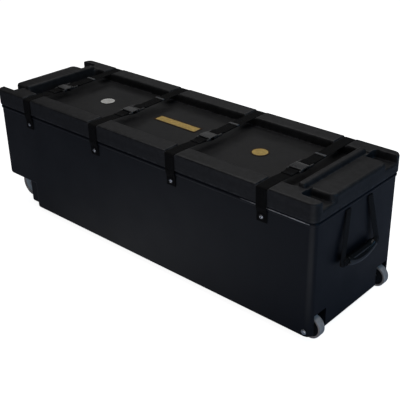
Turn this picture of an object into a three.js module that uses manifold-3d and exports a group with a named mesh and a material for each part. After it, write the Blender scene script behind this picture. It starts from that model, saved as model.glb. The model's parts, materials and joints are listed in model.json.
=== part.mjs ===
import * as THREE from "three";
import { mergeVertices } from "three/addons/utils/BufferGeometryUtils.js";
import Module from "manifold-3d";

// A long moulded case for drum stands, in millimetres, standing on its four wheels.
// +X runs along the case towards the end with the small wheels, -Y faces the front, +Z is up.
// The origin lies on the floor under the middle of the case.

// Tub: the deep lower shell
const tubLength = 1420;
const tubWidth = 440;
const tubFloorClearance = 18;
const seamHeight = 394;
const tubWall = 5;
const tubCornerRadius = 22;
const tubEdgeRadius = 7;
const stepHeight = 99;
const stepLength = 96;
const stepFlankLength = 62;
const stepFlankDepth = 20;
const noseCornerRadius = 14;
const rimBeadHeight = 10;
const rimBeadProud = 3;
const rimBeadRadius = 3;
const rimNeckHeight = 20;
const rimNeckInset = 1;

// Lid: a shallow shell with raised rails, end ridges and wheel notches for stacking
const lidOverhang = 5;
const lidSeamGap = 6;
const lidWall = 4.5;
const lidLedge = 4;
const lidCornerRadius = 26;
const lidHeight = 63;
const railEdgeRadius = 7;
const railWidth = 65;
const panelDepth = 30;
const panelCornerRadius = 18;
const endDeckLength = 110;
const endDeckDrop = 3;
const platformHalfWidth = 141;
const platformCornerRadius = 22;
const platformEdgeRadius = 9;
const ridgeWidth = 25;
const ridgeRise = 12;
const ridgeRadius = 8;
const ridgeEndRadius = 10;
const notchLength = 76;
const notchHalfWidth = 193;
const notchDepth = 26;
const notchRadius = 12;
const notchLipRadius = 8;
const strapGrooveClearance = 4;
const strapGrooveDepth = 5;
const strapGrooveFlare = 3;
const strapGrooveEdgeRadius = 5;

// Straps: flat webbing over the lid, riveted to the tub at both ends
const strapWidth = 38;
const strapThickness = 2;
const strapEndSetback = 178.1;
const strapPlaceShares = [-1.5, -0.5, 0.5, 1.5];
const strapRivetDrop = 34;
const strapEndDrop = 50;
const strapRampDrop = 8;
const strapRampHeight = 18;
const strapSag = 5;
const strapSplitGap = 0.3;
const strapReturnLength = 34;
const hemLength = 14;
const hemThicknessShare = 1.6;
const tailEndShares = [0.5, 0.58, 0.5, 0.39];
const rivetHeadRadius = 9.5;
const rivetWasherThickness = 1.4;
const rivetDomeRadius = 6;
const rivetDomeHeight = 2.6;
const rivetDimpleRadius = 2.2;
const rivetDimpleDepth = 1.2;
const rivetShankRadius = 2.5;
const domeShoulderShare = 0.8;
const domeFallShare = 0.3;
const rivetBackRadius = 7;
const rivetBackThickness = 1.6;

// Buckles: side release, with a ladder lock on the back half
const buckleSetback = 44;
const buckleWidth = 50;
const buckleLength = 72;
const buckleThickness = 12;
const buckleEdgeRadius = 2;
const buckleCornerRadius = 5;
const buckleArmThickness = 5.4;
const buckleBarRadius = 1.7;
const buckleSlotLength = 7.4;
const buckleSocketDepth = 28;
const buckleSocketHeight = 7.6;
const buckleMouthShift = 8;
const buckleFlangeLength = 7;
const buckleFlangeRadius = 3;
const prongWidth = 5;
const prongLength = 22;
const prongLatchLength = 8;
const prongLatchReach = 3;
const prongThickness = 6.4;
const guideWidth = 8;
const guideLength = 15;

// Plain discs and a plain plate on the lid panels
const leftDiscRadius = 27.5;
const rightDiscRadius = 31;
const rightDiscShiftX = -8;
const rightDiscShiftY = 2;
const discThickness = 1.4;
const plateLength = 192;
const plateWidth = 45;
const plateThickness = 1.2;
const plateCornerRadius = 3;
const plateShiftX = -11;
const plateShiftY = 6;

// Small wheels at the right end
const smallWheelRadius = 37;
const smallWheelWidth = 26;
const smallTyreDepth = 7;
const smallWheelOverhang = 17;
const smallPocketLength = 64;
const smallPocketWidth = 59;
const smallPocketHeight = 70;
const smallPocketRadius = 16;
const smallCheekThickness = 22;
const smallWheelCheekGap = 7;
const smallAxleRadius = 4;
const smallAxleHeadRadius = 9;
const smallAxleHeadHeight = 4;
const smallSpacerRadius = 9;
const smallNutRadius = 8;
const smallNutLength = 7;

// Large wheels under the step at the left end
const largeWheelRadius = 50;
const largeWheelWidth = 36;
const largeTyreDepth = 12;
const largeWheelOverhang = 16;
const largeWheelInset = 68;
const largeAxleRadius = 6;
const largeAxleCapRadius = 9;
const largeAxleCapLength = 6;
const largeCollarRadius = 11;
const largeCollarLength = 12;
const bracketThickness = 8;
const bracketFlangeWidth = 42;
const bracketFlangeThickness = 4;
const bracketLengthShare = 0.9;
const bracketBossRadius = 16;

// Webbing handles at both ends
const handleDrop = 16;
const handleWebbingWidth = 25;
const handleWebbingThickness = 2;
const handleTopHalfSpan = 58;
const handleBottomHalfSpan = 92;
const handleLegLength = 158;
const handleTabReach = 1.5;
const handleTabStopLength = 6;
const handleTabStopHeight = 10;
const gripRadius = 14.5;
const gripBoreRadius = 9.5;
const gripHalfSpan = 72;
const gripTop = 158;
const gripSag = 17;
const gripPlay = 0.8;
const gripWallGap = 1.6;
const gripCoreOverhang = 22;

// Shares and clearances used by several pieces
const hubFaceShare = 0.08;
const hubDishShare = 0.16;
const seatGap = 0.3;
const runningGap = 1;
const overrun = 20;

// Smoothness of curved surfaces
const shellSteps = { corner: 3, edge: 2 };
const trimSteps = { corner: 1, edge: 1 };
const discSteps = { corner: 12, edge: 1 };
const wheelSides = 28;
const rivetSides = 10;
const rodSides = 12;
const bendSteps = 3;
const gripSteps = 10;
const gripSides = 8;
const mergeTolerance = 1e-3;
const quarterTurn = 90;

// Places worked out from the sizes above
const halfTub = { x: tubLength / 2, y: tubWidth / 2 };
const halfLid = { x: halfTub.x + lidOverhang, y: halfTub.y + lidOverhang };
const tubBottom = tubFloorClearance;
const stepTop = tubBottom + stepHeight;
const noseEnd = -halfTub.x + stepLength;
const flankEnd = noseEnd + stepFlankLength;
const noseHalfWidth = halfTub.y - stepFlankDepth;
const neckTop = seamHeight + rimNeckHeight;
const lidBottom = seamHeight + lidSeamGap;
const railTop = seamHeight + lidHeight;
const endDeckTop = railTop - endDeckDrop;
const panelTop = railTop - panelDepth;
const notchFloor = railTop - notchDepth;
const grooveFloor = railTop - strapGrooveDepth;
const panelHalfLength = halfLid.x - endDeckLength;
const panelHalfWidth = halfLid.y - railWidth;
const ridgeTop = railTop + ridgeRise;
const strapPitch = (halfTub.x - strapEndSetback) / Math.max(...strapPlaceShares);
const strapPlaces = strapPlaceShares.map((share) => share * strapPitch);
const rightDiscX = strapPitch + rightDiscShiftX;
const strapLevel = grooveFloor + seatGap + strapThickness / 2;
const strapOuter = halfLid.y + seatGap + strapThickness / 2;
const strapInner = halfTub.y + seatGap + strapThickness / 2;
const rivetHeight = seamHeight - strapRivetDrop;
const loopRadius = buckleBarRadius + seatGap + strapThickness / 2;
const sagLevel = strapLevel - strapSag;
const buckleLevel = sagLevel + loopRadius;
const buckleEnd = buckleLength / 2;
const barCentre = buckleEnd - buckleBarRadius;
const slotEnd = buckleEnd - 2 * buckleBarRadius - buckleSlotLength;
const ladderCentre = slotEnd - buckleBarRadius;
const frontRest = -buckleSetback - buckleEnd - strapThickness;
const backRest = buckleSetback - buckleEnd - strapThickness;
const smallAxleX = halfTub.x + smallWheelOverhang - smallWheelRadius;
const smallPocketOuter = halfTub.y - smallCheekThickness;
const smallPocketInner = smallPocketOuter - smallPocketWidth;
const smallWheelOuter = smallPocketOuter - smallWheelCheekGap;
const smallWheelInner = smallWheelOuter - smallWheelWidth;
const largeAxleX = -halfTub.x - largeWheelOverhang + largeWheelRadius;
const largeWheelOuter = halfTub.y - largeWheelInset;
const largeWheelInner = largeWheelOuter - largeWheelWidth;
const bracketOuter = largeWheelInner - runningGap - largeCollarLength;
const handleHeight = seamHeight - handleDrop;
const handlePivotX = halfTub.x + handleTabReach + seatGap + handleWebbingThickness / 2;
const gripCentreX = halfTub.x + gripWallGap + gripRadius;
const handleTilt = Math.asin((gripCentreX - handlePivotX) / (gripTop + gripSag / 2));

const wasm = await Module();
wasm.setup();

// Finishes, one for each material on the case

function finish(color, roughness, metalness) {
  return new THREE.MeshStandardMaterial({ color, roughness, metalness });
}

const finishes = {
  shell: finish(0x1b1c20, 0.55, 0),
  webbing: finish(0x16171a, 0.85, 0),
  buckle: finish(0x1c1d1f, 0.3, 0),
  steel: finish(0xb9bcc0, 0.3, 1),
  blackSteel: finish(0x222326, 0.45, 0.6),
  tyre: finish(0x8a8d90, 0.6, 0),
  hub: finish(0x2b2c30, 0.5, 0),
  largeHub: finish(0x7d878a, 0.5, 0),
  grip: finish(0x151719, 0.35, 0),
  gold: finish(0xb08a2e, 0.35, 0.8),
  silver: finish(0xc9c6b8, 0.4, 0.6),
};

// Solids that can be joined and cut

function solidFrom(geometry) {
  const bare = geometry.index ? geometry.toNonIndexed() : geometry.clone();
  bare.deleteAttribute("normal");
  bare.deleteAttribute("uv");
  const merged = mergeVertices(bare, mergeTolerance);
  const vertProperties = new Float32Array(merged.attributes.position.array);
  const triVerts = new Uint32Array(merged.index.array);
  return new wasm.Manifold(new wasm.Mesh({ numProp: 3, vertProperties, triVerts }));
}

function geometryFrom(solid) {
  const mesh = solid.getMesh();
  const geometry = new THREE.BufferGeometry();
  geometry.setAttribute("position", new THREE.BufferAttribute(new Float32Array(mesh.vertProperties), 3));
  geometry.setIndex(new THREE.BufferAttribute(new Uint32Array(mesh.triVerts), 1));
  const faceted = geometry.toNonIndexed();
  faceted.computeVertexNormals();
  return faceted;
}

function joined(solids) {
  return solids.reduce((whole, solid) => whole.add(solid));
}

function without(solid, cutters) {
  return cutters.reduce((rest, cutter) => rest.subtract(cutter), solid);
}

function piece(name, solid, material) {
  const mesh = new THREE.Mesh(geometryFrom(solid), material);
  mesh.name = name;
  return mesh;
}

// Basic forms

// A box between its low and high corners.
function block(low, high) {
  const size = high.map((value, axis) => value - low[axis]);
  const middle = high.map((value, axis) => (value + low[axis]) / 2);
  return solidFrom(new THREE.BoxGeometry(...size).translate(...middle));
}

// The same box on both sides of the middle plane across Y.
function pairOfBlocks(low, high) {
  const mirroredLow = [low[0], -high[1], low[2]];
  const mirroredHigh = [high[0], -low[1], high[2]];
  return joined([block(low, high), block(mirroredLow, mirroredHigh)]);
}

// A rectangle with round corners, between two X values and two Y values.
function roundedOutline(xLow, xHigh, yLow, yHigh, radius) {
  const outline = new THREE.Shape();
  outline.absarc(xHigh - radius, yLow + radius, radius, -Math.PI / 2, 0);
  outline.absarc(xHigh - radius, yHigh - radius, radius, 0, Math.PI / 2);
  outline.absarc(xLow + radius, yHigh - radius, radius, Math.PI / 2, Math.PI);
  outline.absarc(xLow + radius, yLow + radius, radius, Math.PI, Math.PI * 1.5);
  return outline;
}

function centredOutline(halfX, halfY, radius) {
  return roundedOutline(-halfX, halfX, -halfY, halfY, radius);
}

// A shape of the XY plane raised between two heights, with its rims rounded.
function upright(shape, bottom, top, rimRadius = 0, steps = shellSteps) {
  const geometry = new THREE.ExtrudeGeometry(shape, {
    depth: top - bottom - 2 * rimRadius,
    bevelEnabled: rimRadius > 0,
    bevelThickness: rimRadius,
    bevelSize: rimRadius,
    bevelOffset: -rimRadius,
    bevelSegments: steps.edge,
    curveSegments: steps.corner,
  });
  return solidFrom(geometry.translate(0, 0, bottom + rimRadius));
}

// A shape drawn with Y to the right and Z up, run along X.
function alongX(shape, xLow, xHigh) {
  const turn = new THREE.Matrix4().makeBasis(
    new THREE.Vector3(0, 1, 0),
    new THREE.Vector3(0, 0, 1),
    new THREE.Vector3(1, 0, 0),
  );
  const options = { depth: xHigh - xLow, bevelEnabled: false, curveSegments: bendSteps };
  return solidFrom(new THREE.ExtrudeGeometry(shape, options).applyMatrix4(turn).translate(xLow, 0, 0));
}

// A shape drawn with X to the right and Z up, run along Y.
function alongY(shape, yLow, yHigh) {
  const turn = new THREE.Matrix4().makeBasis(
    new THREE.Vector3(1, 0, 0),
    new THREE.Vector3(0, 0, 1),
    new THREE.Vector3(0, -1, 0),
  );
  const options = { depth: yHigh - yLow, bevelEnabled: false, curveSegments: shellSteps.corner };
  return solidFrom(new THREE.ExtrudeGeometry(shape, options).applyMatrix4(turn).translate(0, yHigh, 0));
}

// A profile of [radius, y] points turned about an axis along Y, with a flat facet below.
function turned(profile, sides, x, z) {
  const points = profile.map(([radius, y]) => new THREE.Vector2(radius, y));
  return solidFrom(new THREE.LatheGeometry(points, sides, Math.PI / sides).translate(x, 0, z));
}

function rod(radius, yLow, yHigh, x, z, sides = rodSides) {
  return turned([[0, yLow], [radius, yLow], [radius, yHigh], [0, yHigh]], sides, x, z);
}

// The outline of a band of even thickness on both sides of a path.
function bandOutline(path, thickness) {
  const points = path.getPoints(bendSteps);
  const sides = [[], []];
  points.forEach((point, index) => {
    const before = points[Math.max(index - 1, 0)];
    const after = points[Math.min(index + 1, points.length - 1)];
    const inward = point.clone().sub(before).normalize();
    const outward = after.clone().sub(point).normalize();
    const along = inward.add(outward).normalize();
    const across = new THREE.Vector2(-along.y, along.x).multiplyScalar(thickness / 2);
    sides[0].push(point.clone().add(across));
    sides[1].push(point.clone().sub(across));
  });
  return new THREE.Shape([...sides[0], ...sides[1].reverse()]);
}

// A strap's width of band along the case, with the path drawn in Y and Z.
function webbingAlong(path, x, width = strapWidth) {
  return alongX(bandOutline(path, strapThickness), x - width / 2, x + width / 2);
}

// A solid and its mirror image across the middle plane, told apart by the side: -1 front, 1 back.
function towards(side, solid) {
  return side < 0 ? solid : solid.mirror([0, 1, 0]);
}

const sideNames = { "-1": "front", 1: "back" };

// Tub

// The tub's outside, or its inside when everything is set in by the wall.
function tubForm(inset, top) {
  const radius = tubCornerRadius - inset;
  const noseRadius = noseCornerRadius - inset;
  const rim = tubEdgeRadius - inset;
  const halfX = halfTub.x - inset;
  const halfY = halfTub.y - inset;
  const bottom = tubBottom + inset;
  const stepCeiling = stepTop + inset;
  const buried = stepCeiling + tubCornerRadius;
  const right = new THREE.Shape();
  right.absarc(halfX - radius, -halfY + radius, radius, -Math.PI / 2, 0);
  right.absarc(halfX - radius, halfY - radius, radius, 0, Math.PI / 2);
  right.absarc(flankEnd + inset + noseRadius, halfY - noseRadius, noseRadius, Math.PI / 2, Math.PI);
  right.absarc(flankEnd + inset + noseRadius, -halfY + noseRadius, noseRadius, Math.PI, Math.PI * 1.5);
  const nose = roundedOutline(
    noseEnd + inset,
    flankEnd + tubCornerRadius + noseCornerRadius,
    -noseHalfWidth + inset,
    noseHalfWidth - inset,
    noseRadius,
  );
  return joined([
    upright(centredOutline(halfX, halfY, radius), stepCeiling, top, rim),
    upright(right, bottom, buried, rim),
    upright(nose, bottom, buried, rim),
  ]);
}

// The outline of a wheel pocket seen from the front, open below and at the end of the case.
function pocketOutline(growth) {
  const left = halfTub.x - smallPocketLength - growth;
  const top = tubBottom + smallPocketHeight + growth;
  const right = halfTub.x + overrun;
  const outline = new THREE.Shape();
  outline.moveTo(left, tubBottom - overrun);
  outline.lineTo(right, tubBottom - overrun);
  outline.lineTo(right, top);
  outline.absarc(left + smallPocketRadius, top - smallPocketRadius, smallPocketRadius, Math.PI / 2, Math.PI);
  return outline;
}

function strapRivetHoles() {
  return strapPlaces.flatMap((x) => [
    rod(rivetShankRadius + seatGap, -halfTub.y - overrun, halfTub.y + overrun, x, rivetHeight, rivetSides),
  ]);
}

function handleSlots() {
  const halfWidth = handleWebbingWidth / 2 + seatGap;
  const halfHeight = handleWebbingThickness / 2 + seatGap;
  return [-1, 1].map((side) => {
    const middle = side * handleTopHalfSpan;
    const reach = halfTub.x + overrun;
    return block(
      [-reach, middle - halfWidth, handleHeight - halfHeight],
      [reach, middle + halfWidth, handleHeight + halfHeight],
    );
  });
}

function makeTub() {
  const neckX = halfLid.x - lidWall - rimNeckInset;
  const neckY = halfLid.y - lidWall - rimNeckInset;
  const beadX = halfTub.x + rimBeadProud;
  const beadY = halfTub.y + rimBeadProud;
  const outside = joined([
    tubForm(0, seamHeight - rimBeadRadius),
    upright(
      centredOutline(beadX, beadY, tubCornerRadius + rimBeadProud),
      seamHeight - rimBeadHeight,
      seamHeight,
      rimBeadRadius,
    ),
    upright(centredOutline(neckX, neckY, tubCornerRadius), seamHeight - rimBeadHeight, neckTop),
  ]);
  const blocks = pairOfBlocks(
    [halfTub.x - smallPocketLength - tubWall, smallPocketInner - tubWall, tubBottom - overrun],
    [halfTub.x + overrun, halfTub.y + overrun, tubBottom + smallPocketHeight + tubWall],
  );
  const cavity = tubForm(tubWall, neckTop + overrun).subtract(blocks);
  const pockets = [-1, 1].map((side) =>
    towards(side, alongY(pocketOutline(0), -smallPocketOuter, -smallPocketInner)),
  );
  const axleHeight = smallWheelRadius * Math.cos(Math.PI / wheelSides);
  const axleHole = rod(
    smallAxleRadius + seatGap,
    -halfTub.y - overrun,
    halfTub.y + overrun,
    smallAxleX,
    axleHeight,
  );
  const shell = without(outside, [cavity, ...pockets, axleHole, ...strapRivetHoles(), ...handleSlots()]);
  return piece("tub", shell, finishes.shell);
}

// Lid

// The outline of the lid seen from above, set in by a wall for its hollow.
function lidOutline(inset) {
  return centredOutline(halfLid.x - inset, halfLid.y - inset, lidCornerRadius - inset);
}

// The groove that a strap lies in, with its upper edges rounded over.
function strapGroove(x) {
  const half = strapWidth / 2 + strapGrooveClearance;
  const flare = strapGrooveFlare;
  const outline = new THREE.Shape();
  outline.moveTo(x - half, lidBottom);
  outline.lineTo(x + half, lidBottom);
  outline.lineTo(x + half, railTop - flare);
  outline.absarc(x + half + flare, railTop - flare, flare, Math.PI, Math.PI / 2, true);
  outline.lineTo(x + half + flare, railTop + flare);
  outline.lineTo(x - half - flare, railTop + flare);
  outline.absarc(x - half - flare, railTop - flare, flare, Math.PI / 2, 0, true);
  return alongY(outline, -halfLid.y - overrun, halfLid.y + overrun);
}

// All four grooves, down to a floor that is itself rounded over the lid's long edges.
function strapGrooves() {
  const floor = upright(lidOutline(0), lidBottom - overrun, grooveFloor, strapGrooveEdgeRadius);
  return joined(strapPlaces.map(strapGroove)).subtract(floor);
}

// The notches at the ends of the lid, where the wheels of a second case stand.
// They are cut as one opening at each end, and the platform is set back into its middle.
function endNotches() {
  const low = halfLid.x - notchLength;
  const high = halfLid.x + overrun;
  const top = ridgeTop + overrun;
  const plan = roundedOutline(low, high + overrun, -notchHalfWidth, notchHalfWidth, notchRadius);
  const side = new THREE.Shape();
  side.moveTo(low - overrun, notchFloor);
  side.lineTo(halfLid.x - notchLipRadius, notchFloor);
  side.absarc(halfLid.x - notchLipRadius, notchFloor - notchLipRadius, notchLipRadius, Math.PI / 2, 0, true);
  side.lineTo(high, notchFloor - notchLipRadius);
  side.lineTo(high, top);
  side.lineTo(low - overrun, top);
  const right = upright(plan, lidBottom, top).intersect(alongY(side, -halfLid.y, halfLid.y));
  return right.add(right.mirror([1, 0, 0]));
}

// The outline of the platform between the notches at the right end, set in by a wall for its hollow.
function platformOutline(inset) {
  return roundedOutline(
    panelHalfLength + inset,
    halfLid.x - inset,
    -platformHalfWidth + inset,
    platformHalfWidth - inset,
    platformCornerRadius - inset,
  );
}

function endPlatforms(inset) {
  const rim = platformEdgeRadius - inset;
  const right = upright(platformOutline(inset), lidBottom - overrun, endDeckTop - inset, rim);
  return right.add(right.mirror([1, 0, 0]));
}

// The space over the end decks, which lie a little lower than the rails beside them.
function aboveEndDecks() {
  const low = panelHalfLength - overrun;
  const high = halfLid.x + overrun;
  const right = block([low, -panelHalfWidth, endDeckTop], [high, panelHalfWidth, railTop + overrun]);
  return right.add(right.mirror([1, 0, 0]));
}

// The cross ridge that the next case rests on.
function ridge() {
  const outline = roundedOutline(
    panelHalfLength,
    panelHalfLength + ridgeWidth,
    -panelHalfWidth,
    panelHalfWidth,
    ridgeEndRadius,
  );
  return upright(outline, panelTop + ridgeRadius, ridgeTop, ridgeRadius);
}

// The hollow underside of the lid, with a ledge inside that rests on the tub's neck.
function lidHollow() {
  const bottom = lidBottom - overrun;
  const ledgeHeight = neckTop + seatGap;
  const ceiling = grooveFloor - lidWall;
  const panelCeiling = panelTop - lidWall;
  const notchEnd = halfLid.x - notchLength - lidWall;
  const aboveLedge = (top) => upright(lidOutline(lidWall + lidLedge), bottom, top);
  const underRails = joined([
    pairOfBlocks([-notchEnd, panelHalfWidth + lidWall, bottom], [notchEnd, halfLid.y, ceiling]),
    pairOfBlocks([-halfLid.x, notchHalfWidth + lidWall, bottom], [halfLid.x, halfLid.y, ceiling]),
  ]);
  return joined([
    upright(lidOutline(lidWall), bottom, ledgeHeight),
    aboveLedge(panelCeiling),
    aboveLedge(ceiling).intersect(underRails),
    aboveLedge(endDeckTop).intersect(endPlatforms(lidWall)),
  ]);
}

function makeLid() {
  const base = lidOutline(0);
  base.holes.push(centredOutline(panelHalfLength, panelHalfWidth, panelCornerRadius));
  const panel = centredOutline(panelHalfLength + lidWall, panelHalfWidth + lidWall, panelCornerRadius);
  const right = ridge();
  const below = block(
    [-halfLid.x - overrun, -halfLid.y - overrun, lidBottom - 2 * overrun],
    [halfLid.x + overrun, halfLid.y + overrun, lidBottom],
  );
  const sheet = joined([
    upright(base, lidBottom - overrun, railTop, railEdgeRadius),
    upright(panel, panelTop - lidWall, panelTop),
  ]);
  const form = joined([
    without(sheet, [endNotches(), aboveEndDecks()]),
    endPlatforms(0),
    right,
    right.mirror([1, 0, 0]),
  ]);
  return piece("lid", without(form, [lidHollow(), below, strapGrooves()]), finishes.shell);
}

// Straps

// The strap from the seam up the side of the lid, over its edge and down to rest level at a given Y.
function strapRise(restY) {
  const path = new THREE.Path();
  const bend = strapGrooveEdgeRadius + seatGap + strapThickness / 2;
  path.moveTo(-strapOuter, seamHeight + lidSeamGap / 2 + strapSplitGap / 2);
  path.lineTo(-strapOuter, strapLevel - bend);
  path.absarc(-strapOuter + bend, strapLevel - bend, bend, Math.PI, Math.PI / 2, true);
  path.lineTo(-panelHalfWidth, strapLevel);
  path.lineTo(restY, sagLevel);
  return path;
}

// The height of a second layer of webbing lying on the sagging strap.
function secondLayer(y, restY) {
  const sagShare = (y + panelHalfWidth) / (restY + panelHalfWidth);
  return strapLevel - strapSag * sagShare + strapThickness + seatGap;
}

// The front half ends in a sewn loop round the bar of the buckle's front half.
function strapFront(x) {
  const barY = -buckleSetback - barCentre;
  const endY = barY - strapReturnLength;
  const path = strapRise(frontRest);
  path.lineTo(barY, sagLevel);
  path.absarc(barY, buckleLevel, loopRadius, -Math.PI / 2, Math.PI / 2);
  path.lineTo(frontRest - strapReturnLength / 2, secondLayer(frontRest - strapReturnLength / 2, frontRest));
  path.lineTo(endY, secondLayer(endY, frontRest));
  return webbingAlong(path, x);
}

// The back half loops through the ladder lock, and its loose tail lies back over it.
// It is drawn at the front and mirrored, so its path runs towards the ladder lock as the front half does.
function strapBack(x, tailShare) {
  const ladderY = buckleSetback - ladderCentre;
  const landingY = backRest - strapReturnLength / 2;
  const tailY = -panelHalfWidth * tailShare;
  const tailLevel = secondLayer(tailY, backRest);
  const path = strapRise(backRest);
  path.lineTo(ladderY, sagLevel);
  path.absarc(ladderY, buckleLevel, loopRadius, -Math.PI / 2, Math.PI / 2);
  path.lineTo(backRest, buckleLevel + loopRadius);
  path.lineTo(landingY, secondLayer(landingY, backRest));
  path.lineTo(tailY, tailLevel);
  const hem = block(
    [x - strapWidth / 2, tailY, tailLevel],
    [x + strapWidth / 2, tailY + hemLength, tailLevel + strapThickness * hemThicknessShare],
  );
  return webbingAlong(path, x).add(hem).mirror([0, 1, 0]);
}

// The short riveted end on the tub, from the seam down past the rivet.
function strapEnd(x) {
  const path = new THREE.Path();
  const top = seamHeight + lidSeamGap / 2 - strapSplitGap / 2;
  const rampTop = top - strapRampDrop;
  path.moveTo(-strapInner, seamHeight - strapEndDrop);
  path.lineTo(-strapInner, rampTop - strapRampHeight);
  path.lineTo(-strapOuter, rampTop);
  path.lineTo(-strapOuter, top);
  const hole = rod(
    rivetShankRadius + seatGap,
    -strapOuter - overrun,
    -halfTub.y + overrun,
    x,
    rivetHeight,
    rivetSides,
  );
  return webbingAlong(path, x).subtract(hole);
}

// A rivet with a washer head, its shank through the strap and the wall, and its set end inside.
function rivet(x) {
  const washer = -halfTub.y - strapThickness - 2 * seatGap;
  const face = washer - rivetWasherThickness;
  const crown = face - rivetDomeHeight;
  const back = -halfTub.y + tubWall + seatGap;
  const profile = [
    [0, crown + rivetDimpleDepth],
    [rivetDimpleRadius, crown],
    [rivetDomeRadius * domeShoulderShare, crown + rivetDomeHeight * domeFallShare],
    [rivetDomeRadius, face],
    [rivetHeadRadius, face + rivetWasherThickness / 2],
    [rivetHeadRadius, washer],
    [rivetShankRadius, washer],
    [rivetShankRadius, back],
    [rivetBackRadius, back],
    [rivetBackRadius, back + rivetBackThickness],
    [0, back + rivetBackThickness],
  ];
  return turned(profile, rivetSides, x, rivetHeight);
}

// Buckles, drawn about their own middle and then set on the strap

// A round bar across the buckle, which the webbing loops round.
function crossBar(y) {
  const reach = (buckleWidth - buckleArmThickness) / 2;
  return rod(buckleBarRadius, -reach, reach, 0, 0).rotate([0, 0, quarterTurn]).translate([0, y, 0]);
}

// Two side arms with one cross bar between them.
function barFrame(yLow, yHigh, barY) {
  const halfWidth = buckleWidth / 2;
  const arms = [-1, 1].map((side) => {
    const middle = side * (halfWidth - buckleArmThickness / 2);
    return upright(
      roundedOutline(
        middle - buckleArmThickness / 2,
        middle + buckleArmThickness / 2,
        yLow,
        yHigh,
        buckleEdgeRadius,
      ),
      -buckleThickness / 4,
      buckleThickness / 4,
      buckleEdgeRadius / 2,
      trimSteps,
    );
  });
  return joined([...arms, crossBar(barY)]);
}

// The front half: a socket with side windows, and the bar for the sewn webbing.
function buckleSocket() {
  const halfWidth = buckleWidth / 2;
  const blockLow = -slotEnd;
  const mouth = buckleMouthShift;
  const body = upright(
    roundedOutline(-halfWidth, halfWidth, blockLow, mouth, buckleCornerRadius),
    -buckleThickness / 2,
    buckleThickness / 2,
    buckleEdgeRadius,
    trimSteps,
  );
  const socketHalf = halfWidth - buckleArmThickness + seatGap;
  const socket = block(
    [-socketHalf, mouth - buckleSocketDepth, -buckleSocketHeight / 2],
    [socketHalf, mouth + overrun, buckleSocketHeight / 2],
  );
  const latchLow = mouth - prongLength - runningGap;
  const windows = block(
    [-halfWidth - overrun, latchLow, -buckleSocketHeight / 2],
    [halfWidth + overrun, latchLow + prongLatchLength + 2 * runningGap, buckleSocketHeight / 2],
  );
  const frame = barFrame(-buckleEnd, blockLow + buckleCornerRadius, -barCentre);
  return joined([body, frame]).subtract(socket).subtract(windows);
}

// The back half: two sprung prongs and a guide in the socket, and a ladder lock behind.
function buckleProngs() {
  const halfWidth = buckleWidth / 2;
  const low = buckleMouthShift + seatGap;
  const flange = upright(
    roundedOutline(-halfWidth, halfWidth, low, low + buckleFlangeLength, buckleFlangeRadius),
    -buckleThickness / 2,
    buckleThickness / 2,
    buckleEdgeRadius,
    trimSteps,
  );
  const prongOuter = halfWidth - buckleArmThickness - runningGap;
  const tip = low - prongLength;
  const halfHeight = prongThickness / 2;
  const inside = [-1, 1].flatMap((side) => {
    const span = (a, b) => [Math.min(side * a, side * b), Math.max(side * a, side * b)];
    const [armLow, armHigh] = span(prongOuter - prongWidth, prongOuter);
    const [latchLow, latchHigh] = span(prongOuter - prongWidth, prongOuter + prongLatchReach);
    return [
      block([armLow, tip, -halfHeight], [armHigh, low + buckleFlangeLength / 2, halfHeight]),
      block([latchLow, tip, -halfHeight], [latchHigh, tip + prongLatchLength, halfHeight]),
    ];
  });
  const guide = block(
    [-guideWidth / 2, low - guideLength, -halfHeight],
    [guideWidth / 2, low + buckleFlangeLength / 2, halfHeight],
  );
  const frame = barFrame(low + buckleFlangeLength / 2, buckleEnd, barCentre);
  return joined([flange, ...inside, guide, frame, crossBar(ladderCentre)]);
}

function makeStrap(x, number) {
  const name = "strap_" + number;
  const set = (solid) => solid.translate([x, -buckleSetback, buckleLevel]);
  const pieces = [
    piece(name + "_front", strapFront(x), finishes.webbing),
    piece(name + "_back", strapBack(x, tailEndShares[number - 1]), finishes.webbing),
    piece("buckle_" + number + "_socket", set(buckleSocket()), finishes.buckle),
    piece("buckle_" + number + "_prongs", set(buckleProngs()), finishes.buckle),
  ];
  for (const side of [-1, 1]) {
    const sideName = sideNames[side];
    pieces.push(piece(name + "_" + sideName + "_end", towards(side, strapEnd(x)), finishes.webbing));
    pieces.push(piece("rivet_" + number + "_" + sideName, towards(side, rivet(x)), finishes.steel));
  }
  return pieces;
}

// Plain discs and plate on the lid

function makeTrim() {
  const low = panelTop;
  const disc = (x, y, radius) => {
    const outline = new THREE.Shape().absarc(x, y, radius, 0, Math.PI * 2);
    return upright(outline, low, low + discThickness, discThickness / 4, discSteps);
  };
  const plate = roundedOutline(
    plateShiftX - plateLength / 2,
    plateShiftX + plateLength / 2,
    plateShiftY - plateWidth / 2,
    plateShiftY + plateWidth / 2,
    plateCornerRadius,
  );
  return [
    piece("left_disc", disc(-strapPitch, 0, leftDiscRadius), finishes.silver),
    piece("right_disc", disc(rightDiscX, rightDiscShiftY, rightDiscRadius), finishes.gold),
    piece(
      "middle_plate",
      upright(plate, low, low + plateThickness, plateThickness / 4, trimSteps),
      finishes.gold,
    ),
  ];
}

// Wheels

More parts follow.
